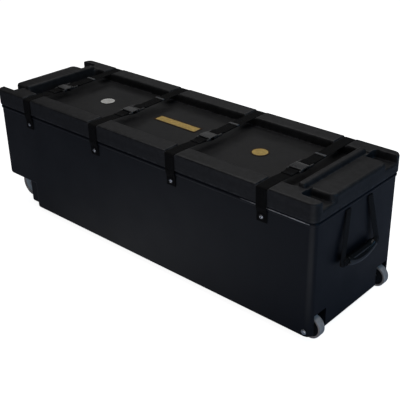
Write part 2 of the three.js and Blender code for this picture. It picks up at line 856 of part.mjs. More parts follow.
// A tyre and its hub, between two Y values.
function wheelPair(radius, tyreDepth, yLow, yHigh, x, boreRadius) {
  const seat = radius - tyreDepth;
  const height = radius * Math.cos(Math.PI / wheelSides);
  const crown = tyreDepth / 4;
  const face = (yHigh - yLow) * hubFaceShare;
  const dish = (yHigh - yLow) * hubDishShare;
  const tyre = [
    [seat, yLow + crown / 2],
    [radius - crown, yLow],
    [radius, yLow + crown],
    [radius, yHigh - crown],
    [radius - crown, yHigh],
    [seat, yHigh - crown / 2],
    [seat, yLow + crown / 2],
  ];
  const rim = seat - seatGap;
  const bossRadius = (boreRadius + rim) / 2;
  const hub = [
    [boreRadius, yLow + face],
    [bossRadius - crown, yLow + face],
    [bossRadius, yLow + dish],
    [rim, yLow + crown],
    [rim, yHigh - crown],
    [bossRadius, yHigh - dish],
    [bossRadius - crown, yHigh - face],
    [boreRadius, yHigh - face],
    [boreRadius, yLow + face],
  ];
  return {
    tyre: turned(tyre, wheelSides, x, height),
    hub: turned(hub, wheelSides, x, height),
    height,
  };
}

function makeSmallWheel(side) {
  const sideName = sideNames[side];
  const name = "small_wheel_" + sideName;
  const bore = smallAxleRadius + seatGap;
  const wheel = wheelPair(
    smallWheelRadius,
    smallTyreDepth,
    -smallWheelOuter,
    -smallWheelInner,
    smallAxleX,
    bore,
  );
  const hubFace = smallWheelWidth * hubFaceShare;
  const hubOuter = -smallWheelOuter + hubFace;
  const hubInner = -smallWheelInner - hubFace;
  const head = -halfTub.y - seatGap;
  const nut = -smallPocketInner + tubWall + seatGap;
  const axle = [
    [0, head - smallAxleHeadHeight],
    [smallAxleHeadRadius * domeShoulderShare, head - smallAxleHeadHeight * (1 - domeFallShare)],
    [smallAxleHeadRadius, head],
    [smallAxleRadius, head],
    [smallAxleRadius, -smallPocketOuter + seatGap],
    [smallSpacerRadius, -smallPocketOuter + seatGap],
    [smallSpacerRadius, hubOuter - seatGap],
    [smallAxleRadius, hubOuter - seatGap],
    [smallAxleRadius, hubInner + seatGap],
    [smallSpacerRadius, hubInner + seatGap],
    [smallSpacerRadius, -smallPocketInner - seatGap],
    [smallAxleRadius, -smallPocketInner - seatGap],
    [smallAxleRadius, nut],
    [smallNutRadius, nut],
    [smallNutRadius, nut + smallNutLength],
    [0, nut + smallNutLength],
  ];
  return [
    piece(name + "_tyre", towards(side, wheel.tyre), finishes.tyre),
    piece(name + "_hub", towards(side, wheel.hub), finishes.hub),
    piece(
      "small_axle_" + sideName,
      towards(side, turned(axle, rodSides, smallAxleX, wheel.height)),
      finishes.steel,
    ),
  ];
}

function largeWheel() {
  return wheelPair(
    largeWheelRadius,
    largeTyreDepth,
    -largeWheelOuter,
    -largeWheelInner,
    largeAxleX,
    largeAxleRadius + seatGap,
  );
}

function makeLargeWheel(side) {
  const name = "large_wheel_" + sideNames[side];
  const wheel = largeWheel();
  return [
    piece(name + "_tyre", towards(side, wheel.tyre), finishes.tyre),
    piece(name + "_hub", towards(side, wheel.hub), finishes.largeHub),
  ];
}

// One rod across the case carries both large wheels, with a collar inside and a cap outside each.
function makeLargeAxle() {
  const hubFace = largeWheelWidth * hubFaceShare;
  const hubOuter = largeWheelOuter - hubFace;
  const hubInner = largeWheelInner + hubFace;
  const capStart = hubOuter + seatGap;
  const half = [
    [0, capStart + largeAxleCapLength],
    [largeAxleCapRadius * domeShoulderShare, capStart + largeAxleCapLength * (1 - domeFallShare)],
    [largeAxleCapRadius, capStart + largeAxleCapLength * domeFallShare],
    [largeAxleCapRadius, capStart],
    [largeAxleRadius, capStart],
    [largeAxleRadius, hubInner - seatGap],
    [largeCollarRadius, hubInner - seatGap],
    [largeCollarRadius, bracketOuter + seatGap],
    [largeAxleRadius, bracketOuter + seatGap],
  ];
  const mirrored = half.map(([radius, y]) => [radius, -y]);
  const profile = [...mirrored, ...half.slice().reverse()];
  return piece(
    "large_axle",
    turned(profile, rodSides, largeAxleX, largeWheel().height),
    finishes.steel,
  );
}

// A bracket under the step: a flange against the shell, and a cheek that holds the axle.
function makeBracket(side) {
  const top = stepTop - seatGap;
  const low = -halfTub.x + tubCornerRadius;
  const high = low + (stepLength - tubCornerRadius) * bracketLengthShare;
  const height = largeWheel().height;
  const cheek = new THREE.Shape();
  cheek.absarc(largeAxleX, height, bracketBossRadius, Math.PI, Math.PI * 2);
  cheek.lineTo(high, top);
  cheek.lineTo(low, top);
  const flange = block(
    [low, -bracketOuter, top - bracketFlangeThickness],
    [high, -bracketOuter + bracketFlangeWidth, top],
  );
  const hole = rod(largeAxleRadius + seatGap, -halfTub.y, halfTub.y, largeAxleX, height);
  const bracket = alongY(cheek, -bracketOuter, -bracketOuter + bracketThickness);
  return piece(
    "wheel_bracket_" + sideNames[side],
    towards(side, bracket.add(flange).subtract(hole)),
    finishes.blackSteel,
  );
}

// Handles, drawn at the right end and turned round for the left end

// Where the handle's webbing comes out of the wall, with its sewn stop inside.
function handleTab(side) {
  const halfWidth = handleWebbingWidth / 2;
  const halfHeight = handleWebbingThickness / 2;
  const middle = side * handleTopHalfSpan;
  const inside = halfTub.x - tubWall - seatGap;
  const band = block(
    [inside - handleTabStopLength, middle - halfWidth, handleHeight - halfHeight],
    [halfTub.x + handleTabReach, middle + halfWidth, handleHeight + halfHeight],
  );
  const stop = block(
    [inside - handleTabStopLength, middle - halfWidth, handleHeight - handleTabStopHeight / 2],
    [inside, middle + halfWidth, handleHeight + handleTabStopHeight / 2],
  );
  return band.add(stop);
}

// The curve of the grip in the handle's own plane, with Y across the case and -Z down the hanging handle.
// An overhang carries the same curve on beyond the grip's ends.
function gripCurve(overhang = 0) {
  const stretch = 1 + overhang / gripHalfSpan;
  const halfSpan = gripHalfSpan * stretch;
  const sag = gripSag * stretch * stretch;
  const top = gripTop + gripSag - sag;
  return new THREE.QuadraticBezierCurve3(
    new THREE.Vector3(0, -halfSpan, -top),
    new THREE.Vector3(0, 0, -top - 2 * sag),
    new THREE.Vector3(0, halfSpan, -top),
  );
}

function circleOutline(radius) {
  return new THREE.Shape().absarc(0, 0, radius, 0, Math.PI * 2);
}

function sweep(shape, curve) {
  const options = { steps: gripSteps, extrudePath: curve, curveSegments: gripSides, bevelEnabled: false };
  return solidFrom(new THREE.ExtrudeGeometry(shape, options));
}

// Turns a handle solid from its own plane to where it hangs at the right end.
function hang(solid) {
  const tilt = THREE.MathUtils.radToDeg(-handleTilt);
  return solid.rotate([0, tilt, 0]).translate([handlePivotX, 0, handleHeight]);
}

// The webbing: two legs with round tops at the pivot, and the rolled part inside the grip.
function handleWebbing() {
  const half = handleWebbingThickness / 2;
  const legs = [-1, 1].map((side) => {
    const outline = new THREE.Shape();
    const top = side * handleTopHalfSpan;
    const bottom = side * handleBottomHalfSpan;
    const halfWidth = (side * handleWebbingWidth) / 2;
    outline.moveTo(top - halfWidth, 0);
    outline.lineTo(top + halfWidth, 0);
    outline.lineTo(bottom + halfWidth, -handleLegLength);
    outline.lineTo(bottom - halfWidth, -handleLegLength);
    const knuckle = rod(half, -handleWebbingWidth / 2, handleWebbingWidth / 2, 0, 0).translate([0, top, 0]);
    return alongX(outline, -half, half).add(knuckle);
  });
  const core = sweep(circleOutline(gripBoreRadius - gripPlay), gripCurve(gripCoreOverhang));
  const clearance = sweep(circleOutline(gripRadius + runningGap), gripCurve(runningGap));
  return hang(joined(legs).subtract(clearance).add(core));
}

function grip() {
  const ring = circleOutline(gripRadius);
  ring.holes.push(circleOutline(gripBoreRadius));
  return hang(sweep(ring, gripCurve()));
}

function makeHandle(endName, turn, tabNames) {
  const name = "handle_" + endName;
  const group = new THREE.Group();
  group.rotation.z = turn;
  group.add(
    piece(name + "_webbing", handleWebbing(), finishes.webbing),
    piece(name + "_grip", grip(), finishes.grip),
    piece(name + "_tab_" + tabNames[0], handleTab(-1), finishes.webbing),
    piece(name + "_tab_" + tabNames[1], handleTab(1), finishes.webbing),
  );
  return group;
}

const hardwareCase = new THREE.Group();
hardwareCase.add(
  makeTub(),
  makeLid(),
  ...strapPlaces.flatMap((x, index) => makeStrap(x, index + 1)),
  ...makeTrim(),
  ...[-1, 1].flatMap(makeSmallWheel),
  ...[-1, 1].flatMap(makeLargeWheel),
  makeLargeAxle(),
  ...[-1, 1].map(makeBracket),
  makeHandle("right", 0, ["front", "back"]),
  makeHandle("left", Math.PI, ["back", "front"]),
);

export default hardwareCase;
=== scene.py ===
"""The looks of a long moulded case for drum stands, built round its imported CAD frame.

+X runs along the case towards its small wheels, -Y faces the front, +Z is up, in metres.
"""

import json
import logging
import math
from collections.abc import Callable, Sequence
from dataclasses import dataclass, field
from enum import Enum
from typing import Protocol

import bmesh
import bpy
from mathutils import Matrix, Vector

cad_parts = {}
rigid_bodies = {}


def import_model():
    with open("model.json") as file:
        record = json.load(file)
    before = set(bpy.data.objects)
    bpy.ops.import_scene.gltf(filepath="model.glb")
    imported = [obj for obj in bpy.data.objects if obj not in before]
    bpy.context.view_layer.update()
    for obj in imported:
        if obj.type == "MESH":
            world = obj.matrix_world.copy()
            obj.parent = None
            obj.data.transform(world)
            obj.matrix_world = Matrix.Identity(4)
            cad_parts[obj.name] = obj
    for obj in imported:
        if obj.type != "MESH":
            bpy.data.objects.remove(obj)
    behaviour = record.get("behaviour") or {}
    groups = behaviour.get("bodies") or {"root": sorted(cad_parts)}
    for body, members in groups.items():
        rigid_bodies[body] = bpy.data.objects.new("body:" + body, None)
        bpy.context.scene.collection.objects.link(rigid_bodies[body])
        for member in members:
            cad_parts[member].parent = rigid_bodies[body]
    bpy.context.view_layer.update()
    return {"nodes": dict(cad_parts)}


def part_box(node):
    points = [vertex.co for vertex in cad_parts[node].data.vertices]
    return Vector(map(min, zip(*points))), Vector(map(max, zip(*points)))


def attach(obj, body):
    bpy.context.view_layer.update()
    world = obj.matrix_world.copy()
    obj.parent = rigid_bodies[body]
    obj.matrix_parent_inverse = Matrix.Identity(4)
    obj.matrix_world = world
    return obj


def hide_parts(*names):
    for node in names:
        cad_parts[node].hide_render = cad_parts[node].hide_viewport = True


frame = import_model()
log = logging.getLogger("hardware_case")

Colour = tuple[float, float, float]
Point = tuple[float, float, float]
Profile = Sequence[tuple[float, float]]
Corners = list[tuple[Vector, float]]
Rgba = tuple[float, float, float, float]
Range = tuple[float, float]
Value = float | Sequence[float] | bpy.types.NodeSocket
Sockets = dict[str, bpy.types.NodeSocket]


class Side(Enum):
    """The two long sides of the case."""

    FRONT = -1
    BACK = 1

    @property
    def word(self) -> str:
        """The side's name as it stands in the names of pieces."""
        return self.name.lower()


class End(Enum):
    """The two ends of the case."""

    LEFT = -1
    RIGHT = 1

    @property
    def word(self) -> str:
        """The end's name as it stands in the names of pieces."""
        return self.name.lower()


@dataclass(frozen=True)
class CaseSizes:
    """Sizes that several sub-assemblies share, in metres."""

    tub_half_x: float = 0.710
    tub_half_y: float = 0.220
    lid_half_y: float = 0.225
    seam: float = 0.394
    seam_gap: float = 0.006
    split_gap: float = 0.0003
    groove: float = 0.452
    panel_half_y: float = 0.160
    strap_pitch: float = 0.3546
    strap_width: float = 0.038
    webbing: float = 0.002
    webbing_slack: float = 0.0006
    webbing_thinning: float = 0.0001
    webbing_squareness: float = 7.0
    wall: float = 0.005
    route_step: float = 0.004
    seat_gap: float = 0.0003
    handle_pivot_x: float = 0.7128
    handle_height: float = 0.378

    def beside(self, half_y: float) -> float:
        """The Y of webbing that lies on the front wall of a shell."""
        return -(half_y + self.seat_gap + self.webbing / 2)

    @property
    def strap_places(self) -> tuple[float, ...]:
        """The X of each strap, from left to right."""
        return tuple(share * self.strap_pitch for share in (-1.5, -0.5, 0.5, 1.5))


SIZES = CaseSizes()


class Axis(Enum):
    """The way a turned piece's axis runs, as the two directions square to it and its own."""

    ALONG_Y = ((1, 0, 0), (0, 0, 1), (0, 1, 0))
    UPRIGHT = ((1, 0, 0), (0, 1, 0), (0, 0, 1))


# Node trees


class NodeSheet:
    """A node tree that is being filled in."""

    def __init__(self, tree: bpy.types.NodeTree) -> None:
        """Takes the tree to work in.

        Args:
            tree: The node tree of a material or a group.
        """
        self.tree = tree

    def add(
        self, kind: str, inputs: dict[str | int, Value] | None = None, **settings: object
    ) -> bpy.types.Node:
        """Adds a node, with its settings made and its sockets set or linked.

        Args:
            kind: Blender's name for the kind of node.
            inputs: A value or an output socket for each input, by name or number.
            settings: Values for the node's own properties.

        Returns:
            The new node.
        """
        node = self.tree.nodes.new(kind)
        for name, value in settings.items():
            setattr(node, name, value)
        for key, value in (inputs or {}).items():
            if isinstance(value, bpy.types.NodeSocket):
                self.tree.links.new(value, node.inputs[key])
            else:
                node.inputs[key].default_value = value
        return node

    def maths(self, operation: str, first: Value, second: Value = 0.0) -> bpy.types.NodeSocket:
        """Adds a sum on two values and returns its result."""
        node = self.add("ShaderNodeMath", {0: first, 1: second}, operation=operation)
        return node.outputs[0]

    def product(self, *values: Value) -> bpy.types.NodeSocket:
        """Multiplies values together and returns the result.

        Args:
            values: The values, two or more.

        Returns:
            Their product.
        """
        result = values[0]
        for value in values[1:]:
            result = self.maths("MULTIPLY", result, value)
        return result

    def spread(
        self, value: Value, low: float, high: float, to_low: float = 0.0, to_high: float = 1.0
    ) -> bpy.types.NodeSocket:
        """Maps a value from one range to another and holds it there.

        Args:
            value: The value to map.
            low: Where the incoming range starts.
            high: Where the incoming range ends.
            to_low: The result at the start.
            to_high: The result at the end.

        Returns:
            The mapped value.
        """
        inputs = {0: value, 1: low, 2: high, 3: to_low, 4: to_high}
        return self.add("ShaderNodeMapRange", inputs, clamp=True).outputs[0]

    def blended(self, factor: Value, first: Value, second: Value) -> bpy.types.NodeSocket:
        """Mixes two colours by a factor and returns the mixed colour."""
        node = self.add("ShaderNodeMix", {0: factor, 6: first, 7: second}, data_type="RGBA")
        return node.outputs[2]

    def noise(self, vector: Value, scale: Value, detail: float) -> bpy.types.NodeSocket:
        """Adds a noise texture and returns its value."""
        inputs = {"Vector": vector, "Scale": scale, "Detail": detail}
        return self.add("ShaderNodeTexNoise", inputs).outputs[0]

    def here(self) -> bpy.types.NodeSocket:
        """The place on the piece, in metres of the case's own frame."""
        return self.add("ShaderNodeTexCoord").outputs["Object"]

    def stretched(self, vector: Value, scale: Sequence[float]) -> bpy.types.NodeSocket:
        """Scales a vector by one factor for each axis."""
        return self.add("ShaderNodeMapping", {"Vector": vector, "Scale": scale}).outputs[0]


class EffectGroup:
    """A shader effect that several materials share, with named inputs and outputs."""

    name = "effect"
    inputs: dict[str, float] = {}
    outputs: tuple[str, ...] = ()

    @classmethod
    def tree(cls) -> bpy.types.NodeTree:
        """Finds the effect's node group, or builds it on first use.

        Returns:
            The node group.
        """
        made = bpy.data.node_groups.get(cls.name)
        if made is not None:
            return made
        made = bpy.data.node_groups.new(cls.name, "ShaderNodeTree")
        for name, value in cls.inputs.items():
            socket = made.interface.new_socket(name, in_out="INPUT", socket_type="NodeSocketFloat")
            socket.default_value = value
        for name in cls.outputs:
            made.interface.new_socket(name, in_out="OUTPUT", socket_type="NodeSocketFloat")
        sheet = NodeSheet(made)
        taken = sheet.add("NodeGroupInput").outputs
        results = cls.build(sheet, {name: taken[name] for name in cls.inputs})
        sheet.add("NodeGroupOutput", dict(results))
        return made

    @classmethod
    def build(cls, sheet: NodeSheet, taken: Sockets) -> Sockets:
        """Fills the group in.

        Args:
            sheet: The group's node tree.
            taken: The group's inputs by name.

        Returns:
            A socket for each output, by name.
        """
        raise NotImplementedError

    @classmethod
    def place(cls, sheet: NodeSheet, **values: Value) -> bpy.types.Node:
        """Puts the effect into a material with values of its own.

        Args:
            sheet: The material's node tree.
            values: A value for each input, with _ for a space in its name.

        Returns:
            The group node.
        """
        node = sheet.add("ShaderNodeGroup", node_tree=cls.tree())
        for name, value in values.items():
            key = name.replace("_", " ").capitalize()
            node.inputs[key].default_value = value
        return node


class MouldGrain(EffectGroup):
    """The fine skin that a mould leaves on plastic, with the blotches and the slow mottle under it."""

    name = "mould_grain"
    inputs = {"Grain scale": 900.0, "Mottle scale": 9.0}
    outputs = ("Height", "Mottle", "Blotch")
    coarse_scale = 0.23
    fine_weight = 0.65
    blotch_scale = 7.0
    mottle_range = (0.3, 0.7)
    blotch_range = (0.36, 0.64)

    @classmethod
    def build(cls, sheet: NodeSheet, taken: Sockets) -> Sockets:
        """Two noises for the skin, one for the blotches and a slow one for the mottle; see the base class."""
        here = sheet.here()
        fine = sheet.noise(here, taken["Grain scale"], detail=4.0)
        coarse = sheet.noise(here, sheet.product(taken["Grain scale"], cls.coarse_scale), detail=2.0)
        skin = (sheet.product(fine, cls.fine_weight), sheet.product(coarse, 1 - cls.fine_weight))
        mottle = sheet.noise(here, taken["Mottle scale"], detail=5.0)
        blotch = sheet.noise(here, sheet.product(taken["Mottle scale"], cls.blotch_scale), detail=5.0)
        return {
            "Height": sheet.maths("ADD", *skin),
            "Mottle": sheet.spread(mottle, *cls.mottle_range),
            "Blotch": sheet.spread(blotch, *cls.blotch_range),
        }


class EdgeWear(EffectGroup):
    """Where edges and corners are lighter: rubbed wear, and a painted highlight along the edges where a
    finish gives them a high tone.
    """

    name = "edge_wear"
    inputs = {"Radius": 0.003, "Reach": 1.0}
    outputs = ("Mask",)
    sharpness = (0.99, 0.84)
    patch_scale = 60.0
    patch_range = (0.35, 0.65)

    @classmethod
    def build(cls, sheet: NodeSheet, taken: Sockets) -> Sockets:
        """Compares the surface's normal with a rounded one, broken up by noise; see the base class."""
        rounded = sheet.add("ShaderNodeBevel", {"Radius": taken["Radius"]}, samples=4).outputs[0]
        normal = sheet.add("ShaderNodeNewGeometry").outputs["Normal"]
        dot = sheet.add("ShaderNodeVectorMath", {0: rounded, 1: normal}, operation="DOT_PRODUCT")
        edge = sheet.spread(dot.outputs["Value"], *cls.sharpness)
        patches = sheet.noise(sheet.here(), cls.patch_scale, detail=6.0)
        return {"Mask": sheet.product(edge, sheet.spread(patches, *cls.patch_range), taken["Reach"])}


class Scuffs(EffectGroup):
    """Short light scuffs and rubbed spots from carrying and stacking."""

    name = "scuffs"
    inputs = {"Size": 14.0, "Amount": 0.5}
    outputs = ("Mask",)
    streak_scale = 14.0
    streak_stretch = (0.25, 2.6, 2.2)
    streak_range = (0.6, 0.72)
    spot_range = (0.55, 0.75)

    @classmethod
    def build(cls, sheet: NodeSheet, taken: Sockets) -> Sockets:
        """Thin streaks along the case inside sparse patches; see the base class."""
        here = sheet.here()
        drawn_out = sheet.stretched(here, cls.streak_stretch)
        streaks = sheet.noise(drawn_out, sheet.product(taken["Size"], cls.streak_scale), detail=5.0)
        patches = sheet.noise(here, taken["Size"], detail=3.0)
        lines = sheet.spread(streaks, *cls.streak_range)
        spots = sheet.spread(patches, *cls.spot_range)
        return {"Mask": sheet.product(lines, spots, taken["Amount"])}


class WebbingWeave(EffectGroup):
    """The chevron ribs and firm edges of woven strapping, from the cloth coordinates of the band."""

    name = "webbing_weave"
    inputs = {"Rib": 0.0021, "Half width": 0.019}
    outputs = ("Height", "Shade")
    rib_slant = 1.2
    wefts_per_rib = 1.7
    rib_height = 0.32
    weft_height = 0.18
    selvedge_height = 0.25
    selvedge_range = (0.86, 0.93)
    fuzz_scale = 1600.0
    fuzz_share = 0.3

    @classmethod
    def build(cls, sheet: NodeSheet, taken: Sockets) -> Sockets:
        """Slanted ribs that meet in the middle, cut across by the weft; see the base class."""
        cloth = sheet.add("ShaderNodeAttribute", attribute_name="cloth").outputs["Vector"]
        parts = sheet.add("ShaderNodeSeparateXYZ", {0: cloth}).outputs
        across = sheet.maths("ABSOLUTE", parts["X"])
        slant = sheet.maths("ADD", sheet.product(across, cls.rib_slant), parts["Y"])
        turn = sheet.maths("DIVIDE", 2 * math.pi, taken["Rib"])
        ribs = sheet.maths("SINE", sheet.product(slant, turn))
        weft = sheet.maths("SINE", sheet.product(parts["X"], sheet.product(turn, cls.wefts_per_rib)))
        body = sheet.maths("ADD", sheet.product(ribs, cls.rib_height), sheet.product(weft, cls.weft_height))
        edge = sheet.maths("DIVIDE", across, taken["Half width"])
        selvedge = sheet.product(sheet.spread(edge, *cls.selvedge_range), cls.selvedge_height)
        height = sheet.maths("ADD", sheet.maths("ADD", body, 0.5), selvedge)
        fuzz = sheet.noise(cloth, cls.fuzz_scale, detail=2.0)
        lit = (sheet.product(height, 1 - cls.fuzz_share), sheet.product(fuzz, cls.fuzz_share))
        return {"Height": height, "Shade": sheet.maths("ADD", *lit)}


class FineBrushing(EffectGroup):
    """The fine lines of satin metal, and slow stains over it."""

    name = "fine_brushing"
    inputs = {"Line scale": 700.0}
    outputs = ("Height", "Stain")
    line_stretch = (0.06, 1.0, 1.0)
    stain_scale = 70.0
    stain_range = (0.35, 0.7)

    @classmethod
    def build(cls, sheet: NodeSheet, taken: Sockets) -> Sockets:
        """Noise drawn out along the case for the lines; see the base class."""
        here = sheet.here()
        lines = sheet.noise(sheet.stretched(here, cls.line_stretch), taken["Line scale"], detail=3.0)
        stain = sheet.noise(here, cls.stain_scale, detail=4.0)
        return {"Height": lines, "Stain": sheet.spread(stain, *cls.stain_range)}


# Finishes


@dataclass(frozen=True)
class Finish:
    """A finish of the case, which becomes one material."""

    name: str
    colour: Colour
    roughness: float

    def material(self) -> bpy.types.Material:
        """Finds the finish's material, or builds it on first use.

        Returns:
            The material.
        """
        made = bpy.data.materials.get(self.name)
        if made is not None:
            return made
        made = bpy.data.materials.new(self.name)
        made.use_nodes = True
        made.node_tree.nodes.clear()
        sheet = NodeSheet(made.node_tree)
        sheet.add("ShaderNodeOutputMaterial", {"Surface": self.surface(sheet)})
        return made

    def surface(self, sheet: NodeSheet) -> bpy.types.NodeSocket:
        """Adds the shader that covers the piece.

        Args:
            sheet: The material's node tree.

        Returns:
            The shader's output.
        """
        shader = sheet.add("ShaderNodeBsdfPrincipled")
        self.dress(sheet, shader)
        return shader.outputs[0]

    def dress(self, sheet: NodeSheet, shader: bpy.types.Node) -> None:
        """Links the finish's own nodes to the shader.

        Args:
            sheet: The material's node tree.
            shader: The Principled BSDF.
        """
        raise NotImplementedError

    def tone(self, share: float) -> Rgba:
        """The finish's colour made lighter or darker by a share."""
        return (*(min(1.0, part * share) for part in self.colour), 1.0)

    def toned(self, sheet: NodeSheet, factor: Value, shares: Range) -> bpy.types.NodeSocket:
        """The finish's colour, from one share of it to another as a factor rises."""
        return sheet.blended(factor, self.tone(shares[0]), self.tone(shares[1]))

    def uneven(self, sheet: NodeSheet, factor: Value, change: Range) -> bpy.types.NodeSocket:
        """The finish's roughness, changed by one amount to another as a factor rises."""
        return sheet.spread(factor, 0.0, 1.0, self.roughness + change[0], self.roughness + change[1])

    def link(self, sheet: NodeSheet, shader: bpy.types.Node, **sockets: Value) -> None:
        """Links or sets sockets of the shader.

        Args:
            sheet: The material's node tree.
            shader: The Principled BSDF.
            sockets: A value or an output socket for each input, with _ for a space in its name.
        """
        for name, value in sockets.items():
            socket = shader.inputs[name.replace("_", " ")]
            if isinstance(value, bpy.types.NodeSocket):
                sheet.tree.links.new(value, socket)
            else:
                socket.default_value = value

    def bump(self, sheet: NodeSheet, height: Value, depth: float) -> bpy.types.NodeSocket:
        """Turns a height into a normal, with its depth in metres."""
        inputs = {"Height": height, "Distance": depth, "Strength": 1.0}
        return sheet.add("ShaderNodeBump", inputs).outputs[0]


@dataclass(frozen=True)
class MouldedPlastic(Finish):
    """Moulded plastic with a fine grain, a patchy tone and lighter edges, partly rubbed wear and partly
    painted highlight.

    Below a set height the tone is darkened as painted shade, where a sunk panel lies out of the light.
    """

    grain_scale: float = 900.0
    grain_depth: float = 0.00012
    specular: float = 0.3
    wear: float = 0.5
    scuffs: float = 0.4
    variety: float = 0.16
    blotch_share: float = 0.6
    # Share of the colour kept on sunk panels: painted shade, from this height down.
    sheltered: float = 1.0
    shelter_top: float = 0.440
    shelter_fade: float = 0.012
    # Edge tone and width: rubbed wear, and a painted edge highlight where they are high.
    rubbed_tone: float = 2.2
    rubbed_width: float = 0.003
    rubbed_gloss: float = 0.12
    gloss_change: Range = (-0.05, 0.05)

    def dress(self, sheet: NodeSheet, shader: bpy.types.Node) -> None:
        """Grain, mottle, painted shade, edge wear with painted highlight, and scuffs on the plastic; see the
        base class.
        """
        grain = MouldGrain.place(sheet, grain_scale=self.grain_scale)
        wear = EdgeWear.place(sheet, radius=self.rubbed_width, reach=self.wear)
        scuffs = Scuffs.place(sheet, amount=self.scuffs)
        base = self.patchy(sheet, grain)
        # Edges and scuffs are lightened toward the edge tone: rubbed wear, and painted highlight on finishes
        # with a high tone.
        wear_and_highlight_mask = sheet.maths("MAXIMUM", wear.outputs["Mask"], scuffs.outputs["Mask"])
        # The rim's painted glint goes on last.
        colour = self.chafed(sheet, sheet.blended(wear_and_highlight_mask, base, self.tone(self.rubbed_tone)))
        unworn = self.uneven(sheet, grain.outputs["Mottle"], self.gloss_change)
        rough = sheet.maths("SUBTRACT", unworn, sheet.product(wear_and_highlight_mask, self.rubbed_gloss))
        normal = self.bump(sheet, grain.outputs["Height"], self.grain_depth)
        self.link(sheet, shader, Base_Color=colour, Roughness=rough, Normal=normal)
        self.link(sheet, shader, Specular_IOR_Level=self.specular)

    def patchy(self, sheet: NodeSheet, grain: bpy.types.Node) -> bpy.types.NodeSocket:
        """The plastic's colour before the edge wear and painted edge highlight, with painted shade on the
        sunk panels.

        Args:
            sheet: The material's node tree.
            grain: The placed mould grain.

        Returns:
            The colour, which varies with the mottle and the blotches and is darker low down as painted shade.
        """
        blotches = sheet.product(grain.outputs["Blotch"], self.blotch_share)
        mottle = sheet.product(grain.outputs["Mottle"], 1 - self.blotch_share)
        patches = sheet.maths("ADD", blotches, mottle)
        spread = self.variety / 2
        # Painted shade: below the set height the colour is scaled down, for a sunk panel out of the light.
        sunk_with_painted_shade = self.toned(sheet, patches, (self.sheltered - spread, self.sheltered + spread))
        raised = self.toned(sheet, patches, (1 - self.variety, 1 + self.variety))
        height = sheet.add("ShaderNodeSeparateXYZ", {0: sheet.here()}).outputs["Z"]
        above = sheet.spread(height, self.shelter_top - self.shelter_fade, self.shelter_top)
        return sheet.blended(above, sunk_with_painted_shade, raised)

    def chafed(self, sheet: NodeSheet, colour: bpy.types.NodeSocket) -> bpy.types.NodeSocket:
        """The colour with a painted glint at one place; plain plastic has none."""
        return colour


@dataclass(frozen=True)
class RimmedPlastic(MouldedPlastic):
    """The tub's plastic, with a painted glint: a broken pale line on its front rim near one corner."""

    rim_from: float = 0.3908
    front_face: float = -0.2215
    fade: float = 0.0006
    middle: Point = (0.6, -0.223, 0.392)
    reach: float = 0.16
    full_share: float = 0.5
    patch_scale: float = 45.0
    patch_range: Range = (0.35, 0.6)
    # The painted glint's pale colour.
    pale: Rgba = (0.9, 0.9, 0.9, 1.0)

    def chafed(self, sheet: NodeSheet, colour: bpy.types.NodeSocket) -> bpy.types.NodeSocket:
        """The colour with a painted glint, a broken pale line on the rim's round.

        Args:
            sheet: The material's node tree.
            colour: The plastic's colour with its edge wear and painted edge highlight.

        Returns:
            The colour with the painted glint on it.
        """
        here = sheet.here()
        parts = sheet.add("ShaderNodeSeparateXYZ", {0: here}).outputs
        front = sheet.spread(parts["Y"], self.front_face, self.front_face - self.fade)
        rim = sheet.spread(parts["Z"], self.rim_from, self.rim_from + self.fade)
        away = sheet.add("ShaderNodeVectorMath", {0: here, 1: self.middle}, operation="DISTANCE")
        near = sheet.spread(away.outputs["Value"], self.reach * self.full_share, self.reach, 1.0, 0.0)
        broken = sheet.spread(sheet.noise(here, self.patch_scale, detail=5.0), *self.patch_range)
        # Paints a pale glint line where the light catches the rim's round near the front-right corner.
        return sheet.blended(sheet.product(rim, front, near, broken), colour, self.pale)


@dataclass(frozen=True)
class Webbing(Finish):
    """Woven strapping."""

    half_width: float = 0.019
    weave_depth: float = 0.0004
    sheen: float = 0.02
    sheen_roughness: float = 0.5
    specular: float = 0.12
    tones: Range = (0.55, 1.5)
    gloss_change: Range = (0.08, -0.08)

    def dress(self, sheet: NodeSheet, shader: bpy.types.Node) -> None:
        """Ribs, firm edges and a faint sheen; see the base class."""
        weave = WebbingWeave.place(sheet, half_width=self.half_width)
        colour = self.toned(sheet, weave.outputs["Shade"], self.tones)
        rough = self.uneven(sheet, weave.outputs["Shade"], self.gloss_change)
        normal = self.bump(sheet, weave.outputs["Height"], self.weave_depth)
        self.link(sheet, shader, Base_Color=colour, Roughness=rough, Normal=normal)
        self.link(sheet, shader, Specular_IOR_Level=self.specular)
        self.link(sheet, shader, Sheen_Weight=self.sheen, Sheen_Roughness=self.sheen_roughness)


@dataclass(frozen=True)
class Thread(Finish):
    """Twisted sewing thread."""

    twist_scale: float = 2600.0
    twist_depth: float = 0.0002
    twist_range: Range = (0.3, 0.7)
    tones: Range = (0.6, 1.4)
    gloss_change: Range = (-0.1, 0.1)

    def dress(self, sheet: NodeSheet, shader: bpy.types.Node) -> None:
        """A twist of fine noise; see the base class."""
        twist = sheet.noise(sheet.here(), self.twist_scale, detail=2.0)
        colour = self.toned(sheet, twist, self.tones)
        rough = self.uneven(sheet, sheet.spread(twist, *self.twist_range), self.gloss_change)
        normal = self.bump(sheet, twist, self.twist_depth)
        self.link(sheet, shader, Base_Color=colour, Roughness=rough, Normal=normal)


@dataclass(frozen=True)
class SatinMetal(Finish):
    """Satin or polished metal, or a metal foil, with fine lines and faint stains."""

    metallic: float = 1.0
    depth: float = 0.00004
    tones: Range = (0.8, 1.1)
    gloss_change: Range = (0.08, -0.05)

    def dress(self, sheet: NodeSheet, shader: bpy.types.Node) -> None:
        """Fine lines and stains on bare metal; see the base class."""
        brushing = FineBrushing.place(sheet)
        colour = self.toned(sheet, brushing.outputs["Stain"], self.tones)
        rough = self.uneven(sheet, brushing.outputs["Stain"], self.gloss_change)
        normal = self.bump(sheet, brushing.outputs["Height"], self.depth)
        self.link(sheet, shader, Base_Color=colour, Roughness=rough, Normal=normal, Metallic=self.metallic)


